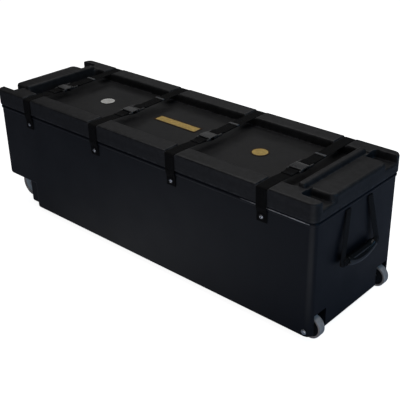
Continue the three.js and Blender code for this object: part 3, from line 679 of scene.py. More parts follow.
@dataclass(frozen=True)
class Rubber(Finish):
    """Rubber or soft plastic of a tyre, dusty and darker where it is scuffed."""

    grain_scale: float = 1400.0
    mottle_scale: float = 55.0
    scuff_size: float = 60.0
    scuffed_tone: float = 0.45
    depth: float = 0.00012
    tones: Range = (0.75, 1.15)
    gloss_change: Range = (0.08, -0.08)

    def dress(self, sheet: NodeSheet, shader: bpy.types.Node) -> None:
        """Grain, dust and scuffs; see the base class."""
        grain = MouldGrain.place(sheet, grain_scale=self.grain_scale, mottle_scale=self.mottle_scale)
        scuffs = Scuffs.place(sheet, size=self.scuff_size, amount=0.8)
        base = self.toned(sheet, grain.outputs["Mottle"], self.tones)
        colour = sheet.blended(scuffs.outputs["Mask"], base, self.tone(self.scuffed_tone))
        rough = self.uneven(sheet, grain.outputs["Mottle"], self.gloss_change)
        normal = self.bump(sheet, grain.outputs["Height"], self.depth)
        self.link(sheet, shader, Base_Color=colour, Roughness=rough, Normal=normal)


@dataclass(frozen=True)
class LightPool:
    """A round pool of light on the floor, which only reflections show."""

    centre: Point
    reach: float
    shine: float

    def light(self, sheet: NodeSheet) -> bpy.types.NodeSocket:
        """The pool's light, which fades out from its centre."""
        away = sheet.add("ShaderNodeVectorMath", {0: sheet.here(), 1: self.centre}, operation="DISTANCE")
        return sheet.spread(away.outputs["Value"], 0.0, self.reach, self.shine, 0.0)


@dataclass(frozen=True)
class FloorFinish(Finish):
    """A floor that is pale to the camera, and blue-grey with two pools of light in reflections."""

    glow: float = 0.93
    mottle_scale: float = 3.0
    pale: Rgba = (0.90, 0.90, 0.90, 1)
    palest: Rgba = (0.93, 0.93, 0.93, 1)
    front_pool: LightPool = LightPool((-0.05, -0.3, 0.0), 0.7, 0.26)
    corner_pool: LightPool = LightPool((1.0, -0.65, 0.0), 0.45, 1.2)

    def surface(self, sheet: NodeSheet) -> bpy.types.NodeSocket:
        """A plain colour with a glow that depends on who looks; see the base class."""
        mottle = sheet.noise(sheet.here(), self.mottle_scale, detail=4.0)
        seen = sheet.blended(mottle, self.pale, self.palest)
        path = sheet.add("ShaderNodeLightPath").outputs
        colour = sheet.blended(path["Is Camera Ray"], self.tone(1.0), seen)
        diffuse = sheet.add("ShaderNodeBsdfDiffuse", {"Color": colour, "Roughness": self.roughness})
        pools = sheet.maths("ADD", self.front_pool.light(sheet), self.corner_pool.light(sheet))
        lift = sheet.product(path["Is Camera Ray"], self.glow)
        shine = sheet.product(path["Is Glossy Ray"], pools)
        strength = sheet.maths("ADD", lift, shine)
        glow = sheet.add("ShaderNodeEmission", {"Color": (1, 1, 1, 1), "Strength": strength})
        whole = sheet.add("ShaderNodeAddShader", {0: diffuse.outputs[0], 1: glow.outputs[0]})
        return whole.outputs[0]


# Tub: edges lightened as wear and painted highlight; its rim also carries a painted glint.
TUB_PLASTIC = RimmedPlastic(
    "tub_plastic", (0.0066, 0.0080, 0.0122), 0.42, wear=0.8, variety=0.1, rubbed_tone=3.0
)
# Lid: sunk panels darkened as painted shade; edges lightened as wear with a painted highlight.
LID_PLASTIC = MouldedPlastic(
    "lid_plastic",
    (0.0215, 0.0212, 0.0222),
    0.45,
    wear=1.0,
    variety=0.4,
    sheltered=0.76,
    rubbed_tone=4.0,
    rubbed_width=0.012,
)
# Buckle: a high edge tone paints highlights along its edges.
BUCKLE_PLASTIC = MouldedPlastic(
    "buckle_plastic",
    (0.036, 0.036, 0.037),
    0.2,
    grain_scale=1600.0,
    grain_depth=0.00004,
    specular=0.6,
    wear=1.0,
    scuffs=0.3,
    rubbed_tone=5.0,
    rubbed_width=0.0015,
)
GRIP_PLASTIC = MouldedPlastic(
    "grip_plastic", (0.012, 0.014, 0.015), 0.22, grain_scale=1600.0, grain_depth=0.00003, specular=0.5
)
SMALL_HUB_PLASTIC = MouldedPlastic("small_hub_plastic", (0.02, 0.02, 0.022), 0.45, grain_scale=1200.0)
LARGE_HUB_PLASTIC = MouldedPlastic("large_hub_plastic", (0.72, 0.82, 0.84), 0.5, grain_scale=1200.0)
BLACK_STEEL = MouldedPlastic(
    "painted_steel",
    (0.018, 0.018, 0.02),
    0.35,
    grain_scale=1500.0,
    grain_depth=0.00005,
    specular=0.5,
    wear=0.9,
    scuffs=0.6,
)
TYRE_GREY = Rubber("tyre_grey", (0.72, 0.65, 0.6), 0.5)
STRAP_WEBBING = Webbing("strap_webbing", (0.0060, 0.0056, 0.0056), 0.8)
HANDLE_WEBBING = Webbing("handle_webbing", (0.02, 0.018, 0.0175), 0.78, half_width=0.0125)
# Pale webbing for the tail's folded end: painted highlight where the curled hem catches the light.
HEM_HIGHLIGHT = Webbing("sealed_end", (0.17, 0.17, 0.175), 0.5)
SEWING_THREAD = Thread("sewing_thread", (0.03, 0.03, 0.032), 0.6)
BRIGHT_STEEL = SatinMetal("bright_steel", (0.8, 0.81, 0.83), 0.24)
DULL_STEEL = SatinMetal("dull_steel", (0.035, 0.035, 0.038), 0.4)
GOLD_PLATE = SatinMetal("gold_plate", (0.86, 0.58, 0.16), 0.36, metallic=0.3)
DARK_BRASS = SatinMetal("dark_brass", (0.045, 0.019, 0.003), 0.5, metallic=0.3)
SILVER_PLATE = SatinMetal("silver_plate", (0.96, 0.94, 0.88), 0.38, metallic=0.15)
PALE_FLOOR = FloorFinish("pale_floor", (0.53, 0.575, 0.69), 0.0)


# Meshes


def mesh_object(
    name: str, vertices: Sequence[Vector], faces: Sequence[Sequence[int]], finish: Finish
) -> bpy.types.Object:
    """Makes a smooth mesh object with one finish.

    Args:
        name: The piece's name.
        vertices: The corners, in the case's frame.
        faces: The corner numbers of each face.
        finish: The finish it wears.

    Returns:
        The object, linked to the scene.
    """
    mesh = bpy.data.meshes.new(name)
    mesh.from_pydata([tuple(v) for v in vertices], [], [tuple(f) for f in faces])
    smooth(mesh)
    mesh.materials.append(finish.material())
    mesh.update()
    made = bpy.data.objects.new(name, mesh)
    bpy.context.scene.collection.objects.link(made)
    return made


def smooth(mesh: bpy.types.Mesh) -> None:
    """Shades every face of a mesh smooth."""
    mesh.polygons.foreach_set("use_smooth", [True] * len(mesh.polygons))


def crease(obj: bpy.types.Object, degrees: float = 35.0) -> None:
    """Keeps edges sharper than an angle crisp in a smooth mesh."""
    obj.data.set_sharp_from_angle(angle=math.radians(degrees))


def face_outward(obj: bpy.types.Object) -> None:
    """Turns every face of a closed mesh to the outside.

    Args:
        obj: The piece.
    """
    bm = bmesh.new()
    bm.from_mesh(obj.data)
    bmesh.ops.recalc_face_normals(bm, faces=bm.faces)
    bm.to_mesh(obj.data)
    bm.free()


def circle(centre: Vector, first: Vector, second: Vector, radius: float, sides: int) -> list[Vector]:
    """Places points evenly on a circle.

    Args:
        centre: The circle's centre.
        first: The direction in which the first point lies.
        second: The direction a quarter turn on.
        radius: The circle's radius.
        sides: How many points it has.

    Returns:
        The points in order.
    """
    points = []
    for step in range(sides):
        angle = 2 * math.pi * step / sides
        points.append(centre + first * radius * math.cos(angle) + second * radius * math.sin(angle))
    return points


def ring_faces(rings: int, sides: int, looped: bool = False, first: int = 0) -> list[tuple[int, ...]]:
    """Covers rings of corners with faces.

    Args:
        rings: How many rings there are.
        sides: How many corners each ring has.
        looped: Whether the last ring joins the first; if not, a flat face closes each end.
        first: The number of the first corner.

    Returns:
        The corner numbers of each face; the two end faces come last.
    """
    faces = []
    for ring in range(rings if looped else rings - 1):
        low = first + ring * sides
        high = first + (ring + 1) % rings * sides
        for step in range(sides):
            after = (step + 1) % sides
            faces.append((low + step, low + after, high + after, high + step))
    if not looped:
        top = first + (rings - 1) * sides
        faces.append(tuple(reversed(range(first, first + sides))))
        faces.append(tuple(range(top, top + sides)))
    return faces


def turned(
    name: str,
    profile: Profile,
    centre: Vector,
    axis: Axis,
    finish: Finish,
    sides: int,
    zones: dict[int, Finish] | None = None,
) -> bpy.types.Object:
    """Turns a profile about an axis.

    Args:
        name: The piece's name.
        profile: Points of radius and reach along the axis; radius zero closes an end.
        centre: Where the axis starts.
        axis: Which way it runs.
        finish: The finish it wears.
        sides: How many sides the round has.
        zones: A finish of its own for some stretches of the profile, by their numbers.

    Returns:
        The turned piece.
    """
    first, second, along = (Vector(part) for part in axis.value)
    zones = zones or {}
    others = list(dict.fromkeys(zones.values()))
    bm = bmesh.new()
    rings = []
    for radius, reach in profile:
        count = sides if radius > 0.0 else 1
        points = circle(centre + along * reach, first, second, radius, count)
        rings.append([bm.verts.new(point) for point in points])
    pairs = list(zip(rings, rings[1:]))
    if len(rings[0]) > 1:
        pairs.append((rings[-1], rings[0]))
    for number, (low, high) in enumerate(pairs):
        index = 1 + others.index(zones[number]) if number in zones else 0
        for step in range(sides):
            after = (step + 1) % sides
            near = (low[step % len(low)], low[after % len(low)])
            far = (high[after % len(high)], high[step % len(high)])
            corners = list(dict.fromkeys(near + far))
            if len(corners) > 2:
                bm.faces.new(corners).material_index = index
    bmesh.ops.recalc_face_normals(bm, faces=bm.faces)
    made = mesh_object(name, [], [], finish)
    for other in others:
        made.data.materials.append(other.material())
    bm.to_mesh(made.data)
    bm.free()
    smooth(made.data)
    crease(made)
    return made


@dataclass(frozen=True)
class EdgeEasing:
    """How a CAD solid is cleaned up and its sharp edges are eased."""

    width: float
    weld: float = 2e-5
    flat_degrees: float = 0.5
    sharp_degrees: float = 50.0
    segments: int = 2
    weight: int = 50
    spare_data: tuple[str, ...] = ("custom_normal", "sharp_edge", "sharp_face", "material_index")

    def refined(self, node: str, finish: Finish) -> bpy.types.Object:
        """Copies a CAD node's solid, welds it, eases its sharp edges and evens its shading.

        Args:
            node: The CAD node.
            finish: The finish it wears.

        Returns:
            The new piece, which stands for the node.
        """
        bm = bmesh.new()
        bm.from_mesh(frame["nodes"][node].data)
        bmesh.ops.remove_doubles(bm, verts=bm.verts, dist=self.weld)
        flat = math.radians(self.flat_degrees)
        bmesh.ops.dissolve_limit(bm, angle_limit=flat, verts=bm.verts, edges=bm.edges)
        made = mesh_object(node + "_finished", [], [], finish)
        bm.to_mesh(made.data)
        bm.free()
        for spare in self.spare_data:
            attribute = made.data.attributes.get(spare)
            if attribute is not None:
                made.data.attributes.remove(attribute)
        smooth(made.data)
        bevel = made.modifiers.new("eased_edges", "BEVEL")
        bevel.width = self.width
        bevel.segments = self.segments
        bevel.limit_method = "ANGLE"
        bevel.angle_limit = math.radians(self.sharp_degrees)
        bevel.use_clamp_overlap = False
        even_shading = made.modifiers.new("even_shading", "WEIGHTED_NORMAL")
        even_shading.mode = "FACE_AREA_WITH_ANGLE"
        even_shading.weight = self.weight
        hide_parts(node)
        return made


@dataclass(frozen=True)
class Rounding:
    """How the corners of a route are rounded."""

    steps: int = 6
    longest_share: float = 0.45
    least_radius: float = 1e-6
    least_turn: float = 1e-3

    def route(self, corners: Corners) -> list[Vector]:
        """Draws a route through corners, each rounded by its own radius.

        Args:
            corners: Each corner and the radius that rounds it.

        Returns:
            The route's points.
        """
        route = [corners[0][0]]
        for index in range(1, len(corners) - 1):
            corner, radius = corners[index]
            before = corners[index - 1][0] - corner
            after = corners[index + 1][0] - corner
            turn = math.pi - before.angle(after, math.pi)
            if radius < self.least_radius or turn < self.least_turn:
                route.append(corner)
                continue
            longest = self.longest_share * min(before.length, after.length)
            reach = min(radius * math.tan(turn / 2), longest)
            start = corner + before.normalized() * reach
            stop = corner + after.normalized() * reach
            for step in range(self.steps + 1):
                share = step / self.steps
                bend = corner * 2 * share * (1 - share)
                route.append(start * (1 - share) ** 2 + bend + stop * share**2)
        route.append(corners[-1][0])
        return route


def divided(route: Sequence[Vector], longest: float) -> list[Vector]:
    """Splits the long stretches of a route.

    Args:
        route: The route's points.
        longest: The length that no stretch may be over.

    Returns:
        The old and the new points in order.
    """
    points = [route[0]]
    for start, stop in zip(route, route[1:]):
        parts = max(1, math.ceil((stop - start).length / longest))
        points.extend(start.lerp(stop, part / parts) for part in range(1, parts + 1))
    return points


def even(value: float) -> Callable[[float], float]:
    """A size that is the same all along a band."""
    return lambda share: value


def bulged(value: float, power: float) -> float:
    """Raises a value to a power and keeps its sign."""
    return math.copysign(abs(value) ** power, value)


@dataclass
class Band:
    """A band of webbing along a route, with an even or a changing section."""

    name: str
    route: list[Vector]
    across: Vector
    finish: Finish
    width: Callable[[float], float]
    thickness: Callable[[float], float]
    squareness: Callable[[float], float] = even(SIZES.webbing_squareness)
    points: int = 24
    crease_degrees: float = 50.0

    def section(self, share: float) -> Profile:
        """Draws the section at one place.

        Args:
            share: How far along the band the place lies, from 0 to 1.

        Returns:
            How far each point lies across the band and from its middle plane.
        """
        half, thick = self.width(share) / 2, self.thickness(share) / 2
        power = 2 / self.squareness(share)
        places = []
        for step in range(self.points):
            angle = 2 * math.pi * (step + 0.5) / self.points
            places.append((half * bulged(math.cos(angle), power), thick * bulged(math.sin(angle), power)))
        return places

    def build(self) -> bpy.types.Object:
        """Sweeps the section along the route and writes the cloth coordinates.

        Returns:
            The band.
        """
        lengths = [0.0]
        for start, stop in zip(self.route, self.route[1:]):
            lengths.append(lengths[-1] + (stop - start).length)
        vertices, cloth = [], []
        for index, place in enumerate(self.route):
            before = self.route[max(index - 1, 0)]
            after = self.route[min(index + 1, len(self.route) - 1)]
            along = (after - before).normalized()
            side = (self.across - along * self.across.dot(along)).normalized()
            normal = along.cross(side)
            for u, v in self.section(lengths[index] / lengths[-1]):
                vertices.append(place + side * u + normal * v)
                cloth.append((u, lengths[index], v))
        made = mesh_object(self.name, vertices, ring_faces(len(self.route), self.points), self.finish)
        layer = made.data.attributes.new("cloth", "FLOAT_VECTOR", "POINT")
        layer.data.foreach_set("vector", [part for point in cloth for part in point])
        face_outward(made)
        crease(made, self.crease_degrees)
        return made


@dataclass
class StitchRows:
    """Rows of sewn stitches, each a short swollen thread."""

    name: str
    length: float = 0.0028
    gap: float = 0.0011
    radius: float = 0.00042
    sides: int = 6
    swelling: Profile = ((-1.0, 0.15), (-0.6, 0.85), (0.0, 1.0), (0.6, 0.85), (1.0, 0.15))
    rows: list[tuple[Vector, Vector]] = field(default_factory=list)

    def add(self, start: Vector, stop: Vector) -> None:
        """Adds a row from one point to another, on a surface that faces up."""
        self.rows.append((start, stop))

    def build(self) -> bpy.types.Object:
        """Makes every stitch of every row as one mesh.

        Returns:
            The stitches.
        """
        vertices, faces = [], []
        up = Vector((0, 0, 1))
        for start, stop in self.rows:
            along = (stop - start).normalized()
            side = along.cross(up).normalized()
            count = max(1, int((stop - start).length / (self.length + self.gap)))
            for number in range(count):
                middle = start.lerp(stop, (number + 0.5) / count)
                faces += ring_faces(len(self.swelling), self.sides, first=len(vertices))
                for reach, swell in self.swelling:
                    centre = middle + along * reach * self.length / 2
                    vertices += circle(centre, side, up, self.radius * swell, self.sides)
        return mesh_object(self.name, vertices, faces, SEWING_THREAD)


# Sub-assemblies


class SubAssembly(Protocol):
    """A part of the case that builds its own pieces."""

    def build(self) -> None:
        """Builds every piece of it."""


@dataclass
class MouldedShells:
    """The deep tub and its lift-off lid."""

    easing: EdgeEasing = EdgeEasing(0.0009)

    def build(self) -> None:
        """Dresses both shells in their moulded finish."""
        for node, finish in (("tub", TUB_PLASTIC), ("lid", LID_PLASTIC)):
            shell = self.easing.refined(node, finish)
            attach(shell, node)


@dataclass
class Rivet:
    """One rivet of a strap's end: a washer, a dimpled dome and a set end inside the wall."""

    name: str
    place: Vector
    side: Side
    washer_rise: float = 0.0014
    dome_rise: float = 0.0026
    dome: Profile = (
        (0.0, 0.0012),
        (0.0012, 0.0011),
        (0.0020, 0.0003),
        (0.0026, 0.0),
        (0.0040, 0.0003),
        (0.0052, 0.0010),
        (0.0058, 0.0019),
    )
    washer: Profile = ((0.0060, 0.0), (0.0084, 0.0001), (0.0093, 0.0005))
    washer_radius: float = 0.0095
    washer_edge: float = 0.0004
    shank_radius: float = 0.0025
    set_end: Profile = ((0.0068, 0.0), (0.0070, 0.0004), (0.0066, 0.0014), (0.0060, 0.0016), (0.0, 0.0016))
    dimple_stretches: int = 2
    dome_stretches: int = 6
    sides: int = 32

    def profile(self) -> Profile:
        """Draws half of the rivet's section, from the dimple to the set end.

        Returns:
            The radius of each point and its distance from the middle of the case.
        """
        low = SIZES.tub_half_y + SIZES.webbing + 2 * SIZES.seat_gap
        face = low + self.washer_rise
        crown = face + self.dome_rise
        inside = SIZES.tub_half_y - SIZES.wall - SIZES.seat_gap
        points = [(radius, crown - drop) for radius, drop in self.dome]
        points += [(radius, face - drop) for radius, drop in self.washer]
        points.append((self.washer_radius, low + self.washer_edge))
        points.append((self.washer[-1][0], low))
        points += [(self.shank_radius, low), (self.shank_radius, inside)]
        points += [(radius, inside - reach) for radius, reach in self.set_end]
        return points

    def build(self) -> None:
        """Turns the rivet, with a bright dome on a dull washer."""
        placed = [(radius, self.side.value * y) for radius, y in self.profile()]
        dull_stretches = (*range(self.dimple_stretches), *range(self.dome_stretches, len(placed) - 1))
        dull = {stretch: DULL_STEEL for stretch in dull_stretches}
        rivet = turned(self.name + "_head", placed, self.place, Axis.ALONG_Y, BRIGHT_STEEL, self.sides, dull)
        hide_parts(self.name)
        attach(rivet, "tub")


@dataclass
class Strap:
    """One webbing strap over the lid, with its riveted ends and its buckle."""

    number: int
    tail_share: float
    buckle_setback: float = 0.044
    buckle_half: float = 0.036
    buckle_easing: EdgeEasing = EdgeEasing(0.0005)
    bar_radius: float = 0.0017
    slot_length: float = 0.0074
    loop_steps: int = 8
    edge_bend: float = 0.008505
    firm_bend: float = 0.012
    soft_bend: float = 0.02
    panel_bend: float = 0.03
    sag: float = 0.005
    return_length: float = 0.034
    box_inset: float = 0.004
    box_start: float = 0.003
    box_overlap: float = 0.002
    hem_length: float = 0.009
    hem_inset: float = 0.003
    hem_rows: tuple[float, ...] = (0.005, 0.010)
    hem_fold: Profile = ((1.0, 0.0), (0.3, 0.4), (0.0, 1.0), (0.3, 1.6), (1.0, 2.0))
    rivet_height: float = 0.360
    end_drop: float = 0.050
    step_out: tuple[float, float] = (0.026, 0.008)
    level: float = field(init=False)
    x: float = field(init=False)
    bar_reach: float = field(init=False)

    def __post_init__(self) -> None:
        """Works out where the strap lies."""
        self.x = SIZES.strap_places[self.number - 1]
        self.level = SIZES.groove + SIZES.seat_gap + SIZES.webbing / 2
        self.bar_reach = self.bar_radius + SIZES.seat_gap + SIZES.webbing / 2

    def point(self, y: float, z: float) -> Vector:
        """A point in the strap's own plane."""
        return Vector((self.x, y, z))

    def second_layer(self, y: float, rest_y: float) -> float:
        """The height of webbing that lies on the sagging strap."""
        share = (y + SIZES.panel_half_y) / (rest_y + SIZES.panel_half_y)
        return self.level - self.sag * share + SIZES.webbing + SIZES.seat_gap

    def laid(self, y: float, rest_y: float) -> Vector:
        """A point of the webbing's second layer."""
        return self.point(y, self.second_layer(y, rest_y))

    def rise(self, rest_y: float) -> Corners:
        """Draws the strap from the seam over the lid's edge to the buckle.

        Args:
            rest_y: Where the strap comes to rest, in front of the buckle's bar.

        Returns:
            The corners with their radii.
        """
        wall = SIZES.beside(SIZES.lid_half_y)
        return [
            (self.point(wall, SIZES.seam + (SIZES.seam_gap + SIZES.split_gap) / 2), 0.0),
            (self.point(wall, self.level), self.edge_bend),
            (self.point(-SIZES.panel_half_y, self.level), self.panel_bend),
            (self.point(rest_y, self.level - self.sag), self.soft_bend),
        ]

    def loop(self, y: float) -> Corners:
        """Draws the half turn of webbing round a bar of the buckle.

        Args:
            y: Where the bar lies.

        Returns:
            The corners with their radii.
        """
        reach = self.bar_reach
        centre = self.point(y, self.level - self.sag + reach)
        angles = [math.radians(-90 + 180 * step / self.loop_steps) for step in range(self.loop_steps + 1)]
        return [(centre + Vector((0, reach * math.cos(a), reach * math.sin(a))), 0.0) for a in angles]

    def band(self, part: str, corners: Corners, side: Side, finish: Finish) -> bpy.types.Object:
        """Makes a band of the strap's width.

        Args:
            part: The band's name after the strap's own.
            corners: The corners and radii of its route, as they lie in the front half.
            side: The side it lies on; the back's is mirrored.
            finish: The finish it wears.

        Returns:
            The band.
        """
        route = divided(Rounding().route(corners), SIZES.route_step)
        if side is Side.BACK:
            route = [Vector((p.x, -p.y, p.z)) for p in route]
        width = even(SIZES.strap_width - SIZES.webbing_slack)
        thickness = even(SIZES.webbing - SIZES.webbing_thinning)
        return Band(f"strap_{self.number}_{part}", route, Vector((1, 0, 0)), finish, width, thickness).build()

    def settle(self, piece: bpy.types.Object, body: str, node: str | None = None) -> None:
        """Lets a piece ride on a body.

        Args:
            piece: The piece.
            body: The body.
            node: The CAD node that it stands for, if there is one.
        """
        if node is not None:
            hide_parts(node)
        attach(piece, body)

    def build_front(self) -> None:
        """Builds the front half, whose end is turned back round the bar of the socket half."""
        rest_y = -self.buckle_setback - self.buckle_half - SIZES.webbing
        bar_y = -self.buckle_setback - self.buckle_half + self.bar_radius
        end_y = bar_y - self.return_length
        landing = rest_y - self.return_length / 2
        corners = self.rise(rest_y) + self.loop(bar_y)
        corners += [(self.laid(landing, rest_y), self.firm_bend), (self.laid(end_y, rest_y), 0.0)]
        front = self.band("front_webbing", corners, Side.FRONT, STRAP_WEBBING)
        self.settle(front, "lid", f"strap_{self.number}_front")
        self.sew_return(end_y, landing, rest_y)

    def sew_return(self, end_y: float, landing: float, rest_y: float) -> None:
        """Sews the front half's end down with a crossed box of stitches.

        Args:
            end_y: Where the end lies.
            landing: Where the webbing comes back to the strap.
            rest_y: Where the strap comes to rest.
        """
        seam = StitchRows(f"strap_{self.number}_front_stitches")
        half = SIZES.strap_width / 2 - self.box_inset
        low, high = end_y + self.box_start, landing + self.box_overlap
        top = self.second_layer(end_y + 2 * self.box_start, rest_y) + SIZES.webbing / 2
        rise = (self.second_layer(high, rest_y) - self.second_layer(low, rest_y)) / 2
        box = [
            Vector((self.x - half, low, top - rise)),
            Vector((self.x + half, low, top - rise)),
            Vector((self.x + half, high, top + rise)),
            Vector((self.x - half, high, top + rise)),
        ]
        for start, stop in ((0, 1), (1, 2), (2, 3), (3, 0), (0, 2), (1, 3)):
            seam.add(box[start], box[stop])
        self.settle(seam.build(), "lid")

    def build_back(self) -> None:
        """Builds the back half, which runs through the ladder lock and ends in a tail."""
        rest_y = self.buckle_setback - self.buckle_half - SIZES.webbing
        ladder_y = self.buckle_setback - self.buckle_half + 3 * self.bar_radius + self.slot_length
        landing = rest_y - self.return_length / 2
        tail_y = -SIZES.panel_half_y * self.tail_share
        top = self.level - self.sag + 2 * self.bar_reach
        corners = self.rise(rest_y) + self.loop(ladder_y)
        corners += [
            (self.point(rest_y, top), self.firm_bend),
            (self.laid(landing, rest_y), self.soft_bend),
            (self.laid(tail_y + self.hem_length, rest_y), 0.0),
        ]
        back = self.band("back_webbing", corners, Side.BACK, STRAP_WEBBING)
        self.settle(back, "lid", f"strap_{self.number}_back")
        self.hem_tail(tail_y, rest_y)

    def hem_tail(self, tail_y: float, rest_y: float) -> None:
        """Folds the tail's end over and sews it down.

        Args:
            tail_y: Where the tail ends.
            rest_y: Where the strap comes to rest.
        """
        fold = SIZES.webbing / 2
        tail_z = self.second_layer(tail_y, rest_y)
        start_y = tail_y + self.hem_length
        route = [self.laid(start_y, rest_y)]
        route += [self.point(tail_y + fold * reach, tail_z + fold * rise) for reach, rise in self.hem_fold]
        route.append(self.point(start_y, tail_z + 2 * fold))
        # The hem wears the pale finish of the painted highlight.
        hem = self.band("hem", [(corner, 0.0) for corner in route], Side.BACK, HEM_HIGHLIGHT)
        self.settle(hem, "lid")
        seam = StitchRows(f"strap_{self.number}_hem_stitches")
        half = Vector((SIZES.strap_width / 2 - self.hem_inset, 0, 0))
        for reach in self.hem_rows:
            middle = self.point(-(tail_y + reach), tail_z + 3 * fold)
            seam.add(middle - half, middle + half)
        self.settle(seam.build(), "lid")

    def build_end(self, side: Side) -> None:
        """Builds the short end on the tub, from the seam down past its rivet.

        Args:
            side: The side of the case it hangs on.
        """
        outer, inner = SIZES.beside(SIZES.lid_half_y), SIZES.beside(SIZES.tub_half_y)
        top = SIZES.seam + (SIZES.seam_gap - SIZES.split_gap) / 2
        low_step, high_step = self.step_out
        corners = [
            (self.point(inner, SIZES.seam - self.end_drop), 0.0),
            (self.point(inner, top - low_step), self.soft_bend),
            (self.point(outer, top - high_step), self.firm_bend),
            (self.point(outer, top), 0.0),
        ]
        end = self.band(f"{side.word}_end_webbing", corners, side, STRAP_WEBBING)
        self.settle(end, "tub", f"strap_{self.number}_{side.word}_end")

    def build_buckle(self) -> None:
        """Dresses the two halves of the side-release buckle."""
        for half in ("socket", "prongs"):
            piece = self.buckle_easing.refined(f"buckle_{self.number}_{half}", BUCKLE_PLASTIC)
            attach(piece, "lid")

    def build(self) -> None:
        """Builds the whole strap."""
        self.build_front()
        self.build_back()
        for side in Side:
            self.build_end(side)
            Rivet(f"rivet_{self.number}_{side.word}", self.point(0, self.rivet_height), side).build()
        self.build_buckle()


@dataclass
class RoundBadge:
    """A bare round badge: a bright field inside a rolled rim."""

    node: str
    field_finish: Finish
    rim_finish: Finish
    slot: str
    rim_width: float
    field_drop: float = 0.0005
    flat_share: float = 0.96
    ease: float = 0.0003
    sides: int = 96

    def build(self) -> None:
        """Turns the badge about its upright axis, where its node lies."""
        low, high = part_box(self.node)
        radius, thick = (high.x - low.x) / 2, high.z - low.z
        centre = Vector(((low.x + high.x) / 2, (low.y + high.y) / 2, low.z))
        inner = radius - self.rim_width
        flat = [
            (0.0, thick - self.field_drop),
            (inner * self.flat_share, thick - self.field_drop),
        ]
        rim = [
            (inner, thick - self.field_drop),
            (inner + self.ease, thick - self.ease),
            (inner + 2 * self.ease, thick),
            (radius - 2 * self.ease, thick),
            (radius - self.ease * 0.5, thick - self.ease * 0.5),
            (radius, thick - 2 * self.ease),
            (radius, 0.0),
        ]
        zones = {stretch: self.rim_finish for stretch in range(len(flat), len(flat) + len(rim) - 1)}
        profile = [*flat, *rim, (0.0, 0.0)]
        name = self.node + "_turned"
        badge = turned(name, profile, centre, Axis.UPRIGHT, self.field_finish, self.sides, zones)
        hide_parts(self.node)
        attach(badge, "lid")


@dataclass
class BarePlate:
    """A bare plate: a bright field inside a dark raised border."""

    node: str = "middle_plate"
    corner: float = 0.003
    least_corner: float = 0.0006
    border: float = 0.0058
    field_drop: float = 0.0004
    ease: float = 0.0003
    corner_steps: int = 6

    def outline(self, inset: float, height: float) -> list[Vector]:
        """Draws the plate's rounded outline at one height.

        Args:
            inset: How far it is set in from the plate's edge.
            height: Its height.

        Returns:
            The outline's points.
        """
        low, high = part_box(self.node)
        middle, half = (low + high) / 2, (high - low) / 2
        radius = max(self.corner - inset, self.least_corner)
        points = []
        for number, (sign_x, sign_y) in enumerate(((1, 1), (-1, 1), (-1, -1), (1, -1))):
            x = middle.x + sign_x * (half.x - inset - radius)
            y = middle.y + sign_y * (half.y - inset - radius)
            for step in range(self.corner_steps + 1):
                angle = math.pi / 2 * (number + step / self.corner_steps)
                points.append(Vector((x + radius * math.cos(angle), y + radius * math.sin(angle), height)))
        return points

    def build(self) -> None:
        """Lofts the border and closes the field, where the plate's node lies."""
        low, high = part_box(self.node)
        levels = (
            (0.0, low.z),
            (0.0, high.z - self.ease),
            (self.ease, high.z),
            (self.border, high.z),
            (self.border + self.ease, high.z - self.field_drop),
        )
        rings = [self.outline(inset, height) for inset, height in levels]
        faces = ring_faces(len(rings), len(rings[0]))
        plate = mesh_object(self.node + "_bordered", [p for ring in rings for p in ring], faces, DARK_BRASS)
        plate.data.materials.append(GOLD_PLATE.material())
        plate.data.polygons[len(faces) - 1].material_index = 1
        crease(plate)
        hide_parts(self.node)
        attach(plate, "lid")


@dataclass
class PanelTrim:
    """The bare badges and the bare plate on the lid's panels."""

    left_rim: float = 0.0022
    right_rim: float = 0.0056

    def build(self) -> None:
        """Builds both badges and the plate."""
        RoundBadge("left_disc", SILVER_PLATE, DULL_STEEL, "silver", self.left_rim).build()
        RoundBadge("right_disc", GOLD_PLATE, DARK_BRASS, "gold", self.right_rim).build()
        BarePlate().build()


